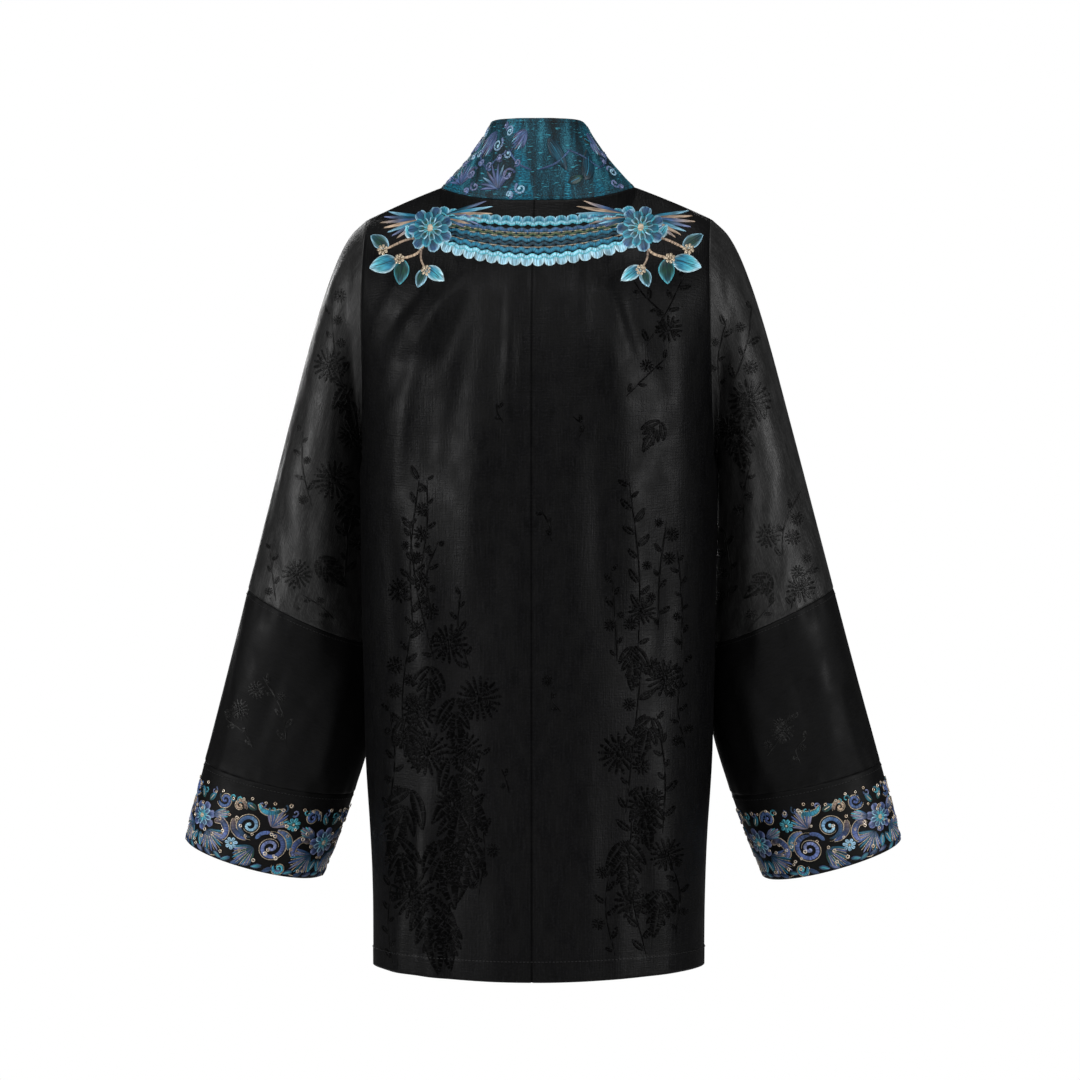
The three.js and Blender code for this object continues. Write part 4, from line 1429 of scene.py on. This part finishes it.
def figure_big_leaf(work, base, angle, length, chance):
    """A large cut leaf: a middle lobe and smaller ones down both sides."""
    axis = compass(angle)
    figure_leaf(work, np.asarray(base) + axis * length * 0.35, angle, length * 0.65, length * 0.26)
    for k, share in enumerate((0.08, 0.3, 0.52)):
        for hand in (1, -1):
            reach = length * (0.52 - 0.12 * k) * chance.uniform(0.9, 1.1)
            figure_leaf(work, np.asarray(base) + axis * length * share, angle + hand * 46, reach,
                        reach * 0.36, bend=-hand * 22)


# Each row is a kind, x and z, and then, for a sprig, to x, to z and the length of its leaves; for a bloom, its
# radius and petals; and for a large leaf, its angle and length.
BACK_FIGURES = [
    ("sprig", 118, -440, 112, -290, 15),
    ("sprig", 96, -470, 122, -330, 13),
    ("sprig", 128, -560, 120, -440, 16),
    ("bloom", 82, -452, 21, 11),
    ("bloom", 52, -506, 24, 12),
    ("bloom", 112, -520, 19, 10),
    ("sprig", 60, -480, 70, -400, 12),
    ("leaf", 84, -560, 250, 74),
    ("leaf", 118, -590, 290, 80),
    ("leaf", 70, -590, 275, 92),
    ("leaf", 96, -640, 255, 78),
    ("bloom", 120, -700, 26, 12),
    ("sprig", 62, -650, 50, -560, 15),
    ("leaf", 134, -640, 262, 66),
    ("sprig", -104, -470, -96, -292, 15),
    ("sprig", -124, -440, -132, -330, 13),
    ("sprig", -92, -620, -108, -470, 16),
    ("bloom", -130, -486, 20, 10),
    ("bloom", -86, -560, 22, 11),
    ("sprig", -128, -640, -122, -520, 14),
    ("sprig", -112, -760, -98, -620, 16),
    ("bloom", -132, -660, 18, 10),
    ("sprig", -140, -740, -134, -660, 12),
    ("bloom", -98, -706, 19, 9),
    ("sprig", -112, -160, -150, -84, 15),
    ("sprig", -128, -126, -98, -92, 12),
    ("bloom", -134, -142, 15, 8),
    ("sprig", -20, -352, -8, -318, 9),
    ("sprig", 26, -236, 34, -214, 8),
    ("sprig", -30, -520, -22, -492, 9),
    ("sprig", 22, -600, 30, -574, 9),
    ("sprig", -46, -250, -40, -228, 8),
    ("sprig", 74, -760, 92, -660, 15),
    ("sprig", 140, -770, 142, -690, 12),
    ("leaf", 104, -696, 262, 84),
    ("bloom", 78, -610, 20, 11),
    ("sprig", 100, -420, 92, -350, 12),
    ("bloom", 132, -400, 14, 8),
    ("sprig", -84, -470, -78, -380, 12),
    ("leaf", -108, -600, 262, 58),
    ("leaf", -118, -520, 284, 50),
    ("sprig", -150, -560, -148, -470, 11),
    ("bloom", -108, -420, 15, 9),
    ("sprig", -92, -210, -132, -170, 12),
    ("leaf", -128, -230, 300, 40),
    ("leaf", 76, -500, 268, 62),
    ("leaf", 128, -520, 256, 60),
    ("leaf", 100, -470, 276, 54),
    ("leaf", 60, -640, 282, 70),
    ("leaf", 88, -720, 262, 56),
    ("bloom", 104, -560, 24, 12),
    ("bloom", 66, -556, 19, 10),
    ("sprig", 52, -700, 56, -600, 12),
    ("sprig", 144, -620, 146, -500, 12),
    ("sprig", 110, -380, 104, -290, 11),
    ("leaf", -92, -640, 268, 66),
    ("leaf", -128, -690, 280, 54),
    ("leaf", -100, -450, 272, 50),
    ("bloom", -112, -610, 20, 11),
    ("sprig", -82, -760, -80, -660, 12),
    ("sprig", -146, -460, -142, -360, 11),
]
FRONT_FIGURES = [
    ("sprig", 122, -330, 138, -200, 14),
    ("bloom", 124, -372, 20, 10),
    ("leaf", 116, -440, 262, 74),
    ("sprig", 134, -600, 122, -470, 15),
    ("bloom", 112, -590, 18, 9),
    ("leaf", 126, -650, 276, 84),
    ("sprig", 102, -760, 112, -660, 13),
]
# On the sleeves: 1 for the left one's back and the right one's front, -1 for the others. x grows outwards.
SLEEVE_FIGURES = {
    1: [
        ("sprig", 186, -226, 204, -104, 14),
        ("bloom", 206, -176, 19, 10),
        ("leaf", 190, -190, 262, 58),
        ("bloom", 186, -246, 15, 9),
        ("sprig", 224, -318, 234, -240, 11),
        ("bloom", 204, -290, 21, 12),
        ("leaf", 184, -300, 280, 48),
        ("sprig", 196, -400, 192, -330, 13),
        ("bloom", 240, -384, 17, 10),
        ("sprig", 262, -412, 268, -352, 11),
        ("leaf", 222, -366, 226, 44),
        ("sprig", 204, -430, 236, -404, 11),
    ],
    -1: [
        ("sprig", 196, -196, 214, -108, 15),
        ("sprig", 184, -214, 190, -130, 13),
        ("bloom", 212, -212, 23, 12),
        ("bloom", 190, -238, 16, 9),
        ("leaf", 222, -206, 250, 44),
        ("leaf", 196, -236, 282, 50),
        ("sprig", 206, -330, 214, -270, 9),
        ("sprig", 244, -372, 262, -300, 15),
        ("bloom", 230, -346, 14, 8),
        ("sprig", 252, -420, 276, -372, 14),
        ("bloom", 262, -398, 16, 9),
        ("leaf", 236, -384, 218, 40),
        ("sprig", 186, -420, 184, -340, 12),
        ("sprig", 212, -436, 238, -408, 12),
    ],
}
LOWER_SLEEVE_FIGURES = {
    1: [
        ("sprig", 252, -556, 276, -486, 12),
        ("bloom", 300, -520, 12, 8),
        ("sprig", 286, -560, 316, -528, 10),
        ("bloom", 282, -500, 10, 7),
    ],
    -1: [
        ("sprig", 228, -566, 252, -520, 12),
        ("bloom", 244, -540, 13, 8),
        ("sprig", 262, -574, 268, -546, 9),
    ],
}


def weave_figures(work, figures, side, chance):
    for kind, x, z, *rest in figures:
        x *= side
        if kind == "sprig":
            to_x, to_z, length = rest
            to_x *= side
            bow = chance.uniform(-9, 9)
            points = [(x, z), ((x + to_x) / 2 + bow, (z + to_z) / 2), (to_x, to_z)]
            figure_sprig(work, points, length, chance)
        elif kind == "bloom":
            figure_bloom(work, (x, z), rest[0], rest[1], chance.uniform(0, 40))
        else:
            angle, length = rest
            figure_big_leaf(work, (x, z), angle if side > 0 else 180 - angle, length, chance)


# ---------------------------------------- beads and stitching
def new_tree(name, sizes):
    """A geometry tree with one geometry in and out, and an input for each named size."""
    tree = bpy.data.node_groups.new(name, "GeometryNodeTree")
    tree.interface.new_socket("Geometry", in_out="INPUT", socket_type="NodeSocketGeometry")
    for label, value in sizes.items():
        made = tree.interface.new_socket(label, in_out="INPUT", socket_type="NodeSocketFloat")
        made.default_value = value
    tree.interface.new_socket("Geometry", in_out="OUTPUT", socket_type="NodeSocketGeometry")
    return tree, add(tree, "NodeGroupInput"), add(tree, "NodeGroupOutput")


def end_tree(tree, instances, material, output):
    """Makes the copies real, smooth and dressed in their material."""
    real = add(tree, "GeometryNodeRealizeInstances", Geometry=instances)
    soft = add(tree, "GeometryNodeSetShadeSmooth", Geometry=real.outputs[0])
    done = add(tree, "GeometryNodeSetMaterial", Geometry=soft.outputs[0])
    done.inputs["Material"].default_value = material
    tree.links.new(done.outputs[0], output.inputs[0])


def run_tree(source, tree, name, sizes):
    """Runs a tree on an object, and gives its result as a plain mesh object."""
    modifier = source.modifiers.new(tree.name, "NODES")
    modifier.node_group = tree
    names = {item.name: item.identifier for item in tree.interface.items_tree
             if item.item_type == "SOCKET" and item.in_out == "INPUT"}
    for label, value in sizes.items():
        modifier[names[label]] = value
    evaluated = source.evaluated_get(bpy.context.evaluated_depsgraph_get())
    mesh = bpy.data.meshes.new_from_object(evaluated)
    mesh.name = name
    source.modifiers.remove(modifier)
    bpy.data.objects.remove(source)
    return in_scene(name, mesh)


def facing_points(name, places, normals, edges=()):
    """Loose points, or lines of them, that know the way out of the cloth."""
    mesh = bpy.data.meshes.new(name)
    mesh.from_pydata((places * MM).tolist(), list(edges), [])
    facing = mesh.attributes.new("facing", "FLOAT_VECTOR", "POINT")
    facing.data.foreach_set("vector", normals.ravel())
    return in_scene(name, mesh)


BEAD_SIZES = {"Ring radius": 0.0014, "Wire radius": 0.0006}
STITCH_SIZES = {"Pitch": 0.0036, "Length": 0.0026, "Thread radius": 0.00032}
BEAD_RISE = 0.9              # a bead's middle over the cloth, in millimetres


def bead_tree(material):
    """A ring bead on every point, lying flat on the cloth."""
    tree, given, output = new_tree("ring_beads", BEAD_SIZES)
    ring = add(tree, "GeometryNodeCurvePrimitiveCircle", Resolution=12, Radius=given.outputs["Ring radius"])
    wire = add(tree, "GeometryNodeCurvePrimitiveCircle", Resolution=6, Radius=given.outputs["Wire radius"])
    bead = add(tree, "GeometryNodeCurveToMesh", Curve=ring.outputs[0], Profile_Curve=wire.outputs[0])
    facing = add(tree, "GeometryNodeInputNamedAttribute", {"data_type": "FLOAT_VECTOR"}, Name="facing")
    turn = add(tree, "FunctionNodeAlignRotationToVector", {"axis": "Z"}, Vector=facing.outputs[0])
    size = add(tree, "FunctionNodeRandomValue", {"data_type": "FLOAT"}, _2=0.75, _3=1.15, Seed=4)
    put = add(tree, "GeometryNodeInstanceOnPoints", Points=given.outputs["Geometry"],
              Instance=bead.outputs[0], Rotation=turn.outputs[0], Scale=size.outputs[1])
    end_tree(tree, put.outputs[0], material, output)
    return tree


def stitch_tree(material):
    """Even stitches along a line: short rounded lengths of thread with gaps between them."""
    tree, given, output = new_tree("running_stitches", STITCH_SIZES)
    curve = add(tree, "GeometryNodeMeshToCurve", Mesh=given.outputs["Geometry"])
    spaced = add(tree, "GeometryNodeResampleCurve", {"mode": "LENGTH"}, Curve=curve.outputs[0],
                 Length=given.outputs["Pitch"])
    size = add(tree, "ShaderNodeCombineXYZ", X=combine(tree, "MULTIPLY", given.outputs["Length"], 0.5),
               Y=given.outputs["Thread radius"], Z=given.outputs["Thread radius"])
    ball = add(tree, "GeometryNodeMeshUVSphere", Segments=6, Rings=4, Radius=1.0)
    stitch = add(tree, "GeometryNodeTransform", Geometry=ball.outputs[0], Scale=size.outputs[0])
    tangent = add(tree, "GeometryNodeInputTangent")
    turn = add(tree, "FunctionNodeAlignRotationToVector", {"axis": "X"}, Vector=tangent.outputs[0])
    put = add(tree, "GeometryNodeInstanceOnPoints", Points=spaced.outputs[0], Instance=stitch.outputs[0],
              Rotation=turn.outputs[0])
    end_tree(tree, put.outputs[0], material, output)
    return tree


# ---------------------------------------- lights, floor
FLOOR_RADIUS = 1600          # in millimetres
FLOOR_HEIGHT = -1300
FLOOR_CORNERS = 96


def make_floor():
    """A plain pale floor, well below the hanging hem."""
    made, tree = blank_material("pale_floor")
    colour = ramp(tree, object_noise(tree, 6.0, 2.0), [(0.3, "#f1f1f1"), (0.7, "#f6f6f6")])
    finish_material(made, tree, Base_Color=colour, Roughness=0.9)
    angles = np.linspace(0, 2 * np.pi, FLOOR_CORNERS, endpoint=False)
    verts = point(np.cos(angles) * FLOOR_RADIUS, np.sin(angles) * FLOOR_RADIUS, FLOOR_HEIGHT)
    floor = new_object("floor", verts, [list(range(FLOOR_CORNERS))], [made], smooth_faces=False)


WORLD_LIGHT = 0.08
LIGHTS = [
    # name, place, width, height, watts, aimed at
    ("side_left", (3.1, 2.3, 0.3), 1.4, 2.4, 95, (0.2, 0, -0.30)),
    ("side_right", (-3.1, 2.3, 0.2), 1.4, 2.4, 86, (-0.2, 0, -0.30)),
    ("behind", (0.5, 3.8, 2.2), 1.8, 1.0, 40, (0, 0, -0.25)),
    ("top", (0.0, 0.3, 2.4), 2.0, 1.2, 25, (0, 0, -0.2)),
    ("before", (0.6, -3.2, 0.6), 2.2, 2.0, 60, (0, 0, -0.35)),
]


def make_lights():
    world = bpy.data.worlds.new("pale_studio")
    bpy.context.scene.world = world
    world.use_nodes = True
    tree = world.node_tree
    tree.nodes.clear()
    seen = add(tree, "ShaderNodeLightPath")
    dim = add(tree, "ShaderNodeBackground", Color=(1, 1, 1, 1), Strength=WORLD_LIGHT)
    white = add(tree, "ShaderNodeBackground", Color=(1, 1, 1, 1), Strength=1.0)
    both = add(tree, "ShaderNodeMixShader", _0=seen.outputs["Is Camera Ray"], _1=dim.outputs[0],
               _2=white.outputs[0])
    output = add(tree, "ShaderNodeOutputWorld")
    tree.links.new(both.outputs[0], output.inputs[0])
    for name, place, width, height, watts, aim in LIGHTS:
        data = bpy.data.lights.new(name, "AREA")
        data.shape = "RECTANGLE"
        data.size, data.size_y, data.energy = width, height, watts
        look_at(in_scene(name, data), place, aim)


# ---------------------------------------- make
# The cut: each piece's flat width and length in millimetres, its flat area as a share of that rectangle, and
# its material slot.
CUT = {
    "back": (262, 800, 0.86, "black_satin"),
    "front": (185, 810, 0.86, "black_satin"),
    "collar": (72, 945, 1.0, "teal_silk"),
    "upper": (560, 430, 0.50, "black_satin"),
    "lower": (500, 205, 0.62, "black_satin"),
    "cuff": (440, 100, 0.86, "cuff_silk"),
}


def make_panels():
    body = ("start", "end", "high")
    plans = []
    for hand, side in HANDS:
        plans += [
            (f"back_{hand}", "back", side, BACK_ACROSS, HEIGHTS, body, "back"),
            (f"front_{hand}", "front", side, SHOULDER_ROWS, HEIGHTS, body, "front"),
            (f"collar_{hand}", "collar", side, BAND_ROWS, BAND_LENGTHS, ("start", "low"), "collar"),
            (f"sleeve_{hand}_upper", "sleeve", side, SLEEVE_TURNS, UPPER_ROWS, ("low", "high"), "upper"),
            (f"sleeve_{hand}_lower", "sleeve", side, SLEEVE_TURNS, LOWER_ROWS, ("low", "high"), "lower"),
            (f"cuff_{hand}", "sleeve", side, SLEEVE_TURNS, CUFF_ROWS, ("low",), "cuff"),
        ]
    return [(Panel(*plan[:6]), plan[6]) for plan in plans]


def make_cloth():
    wrong_side = satin_wrong_side()
    body_satin = black_satin("black_silk_satin", "#020202", "#050506", "#0d0d0e", 0.125)
    # The upper sleeves get a paler copy of the same satin: painted sheen, for the gleam where their warp lies
    # across the light.
    sleeve_satin_painted_sheen = black_satin("black_silk_satin_sleeves", "#131313", "#1f1f1f", "#2f2f2f", 0.3)
    plain = plain_satin()
    finish = {"back": body_satin, "front": body_satin, "collar": collar_silk(), "upper": sleeve_satin_painted_sheen,
              "lower": plain, "cuff": plain}
    cut_pieces = make_panels()
    share_seams([panel for panel, _ in cut_pieces])
    for panel, cut in cut_pieces:
        roll_seams(panel)
        made = build_panel(panel, finish[cut], wrong_side)
        width, length, share, slot = CUT[cut]
        dress(made, slot)
        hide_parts(panel.name)
    return {panel.name: panel for panel, _ in cut_pieces}


def make_needlework(panels):
    thread, metal, glass = embroidery_thread(), metal_thread(), ring_bead()
    backs = seen_ground([panels["back_left"], panels["back_right"]], 1)
    yoke, yoke_metal = Needlework("yoke_embroidery", 11, backs), Needlework("yoke_metal_thread", 12, backs)
    embroider_yoke(yoke, yoke_metal)
    yoke.build(thread, "teal_silk")
    yoke_metal.build(metal, "teal_silk")
    beads = bead_tree(glass)
    for hand, side in HANDS:
        chance = random.Random(31 if side > 0 else 37)
        ground = cuff_ground(side)
        work = Needlework(f"cuff_{hand}_embroidery", 21 + side, ground)
        gold = Needlework(f"cuff_{hand}_metal_thread", 25 + side, ground)
        spots = embroider_cuff(work, gold, chance)
        work.build(thread, "cuff_silk")
        gold.build(metal, "cuff_silk")
        places, normals = ground(spots)
        points = facing_points("bead_places", places + normals * BEAD_RISE, normals)
        dress(run_tree(points, beads, f"cuff_{hand}_ring_beads", BEAD_SIZES), "cuff_silk")
        work = Needlework(f"collar_{hand}_embroidery", 41 + side, collar_ground(side))
        embroider_collar(work, side)
        work.build(thread, "teal_silk")


def make_figures(panels):
    # The lightest dye of each figure is a painted glint on some of its threads.
    figure = woven_figure("black_silk_jacquard_figure", "#000000", "#010101", "#19191a", 0.04)
    # A paler copy of the figure for the sleeves: painted sheen, as on their satin.
    sleeve_figure_painted_sheen = woven_figure("black_silk_jacquard_figure_sleeves", "#020202", "#0b0b0b", "#2c2c2c", 0.18)
    chance = random.Random(77)

    def figures_on(work, names, facing, figures, side):
        work.ground = seen_ground([panels[name] for name in names], facing)
        weave_figures(work, figures, side, chance)
    work = Needlework("back_woven_figures", 51, step=FIGURE_STEP)
    figures_on(work, ["back_left", "back_right"], 1, BACK_FIGURES, 1)
    work.build(figure, "black_satin")
    for hand, side in HANDS:
        work = Needlework(f"front_{hand}_woven_figures", 57 + side, step=FIGURE_STEP)
        figures_on(work, [f"front_{hand}"], -1, FRONT_FIGURES, side)
        work.build(figure, "black_satin")
        work = Needlework(f"sleeve_{hand}_woven_figures", 53 + side, step=FIGURE_STEP)
        for facing in (1, -1):
            figures_on(work, [f"sleeve_{hand}_upper"], facing, SLEEVE_FIGURES[side * facing], side)
            figures_on(work, [f"sleeve_{hand}_lower"], facing, LOWER_SLEEVE_FIGURES[side * facing], side)
        work.build(sleeve_figure_painted_sheen, "black_satin")


# Rows of stitches: a surface, which of its two numbers stays the same, at what, and where the row starts and
# ends.
STITCH_ROWS = [
    ("back", "v", HEM / BODY_LENGTH, 0, 1), ("front", "v", HEM / BODY_LENGTH, 0, 1),
    ("sleeve", "v", 1.022, 0, 2), ("sleeve", "v", 2.045, 0, 2), ("sleeve", "v", 2.955, 0, 2),
    ("collar", "u", 0.045, 0, 3), ("collar", "u", 0.955, 0, 3),
]


def make_stitching():
    """Rows of small stitches beside the seams and along the hems, one piece for each half."""
    tree = stitch_tree(sewing_thread())
    for hand, side in HANDS:
        places, normals, edges, count = [], [], [], 0
        for surface, fixed, value, start, end in STITCH_ROWS:
            run = np.linspace(start, end, 241)
            still = np.full_like(run, value)
            u, v = (still, run) if fixed == "u" else (np.mod(run, 2) if surface == "sleeve" else run, still)
            found, facing = mirrored(side, *lifted(surface, side, u, v))
            # The stitches lie on the cloth, and on the body they lie on its doubled hem.
            rise = HEM_RISE + 0.25 if surface in ("back", "front") else 0.2
            places.append(found + facing * rise)
            normals.append(facing)
            edges += [(count + k, count + k + 1) for k in range(len(run) - 1)]
            count += len(run)
        line = facing_points("stitch_line", np.concatenate(places), np.concatenate(normals), edges)
        dress(run_tree(line, tree, f"stitching_{hand}", STITCH_SIZES), "black_satin")


def main():
    make_camera()
    make_floor()
    make_lights()
    bpy.context.scene.view_settings.view_transform = "Standard"
    panels = make_cloth()
    make_needlework(panels)
    make_figures(panels)
    make_stitching()


main()
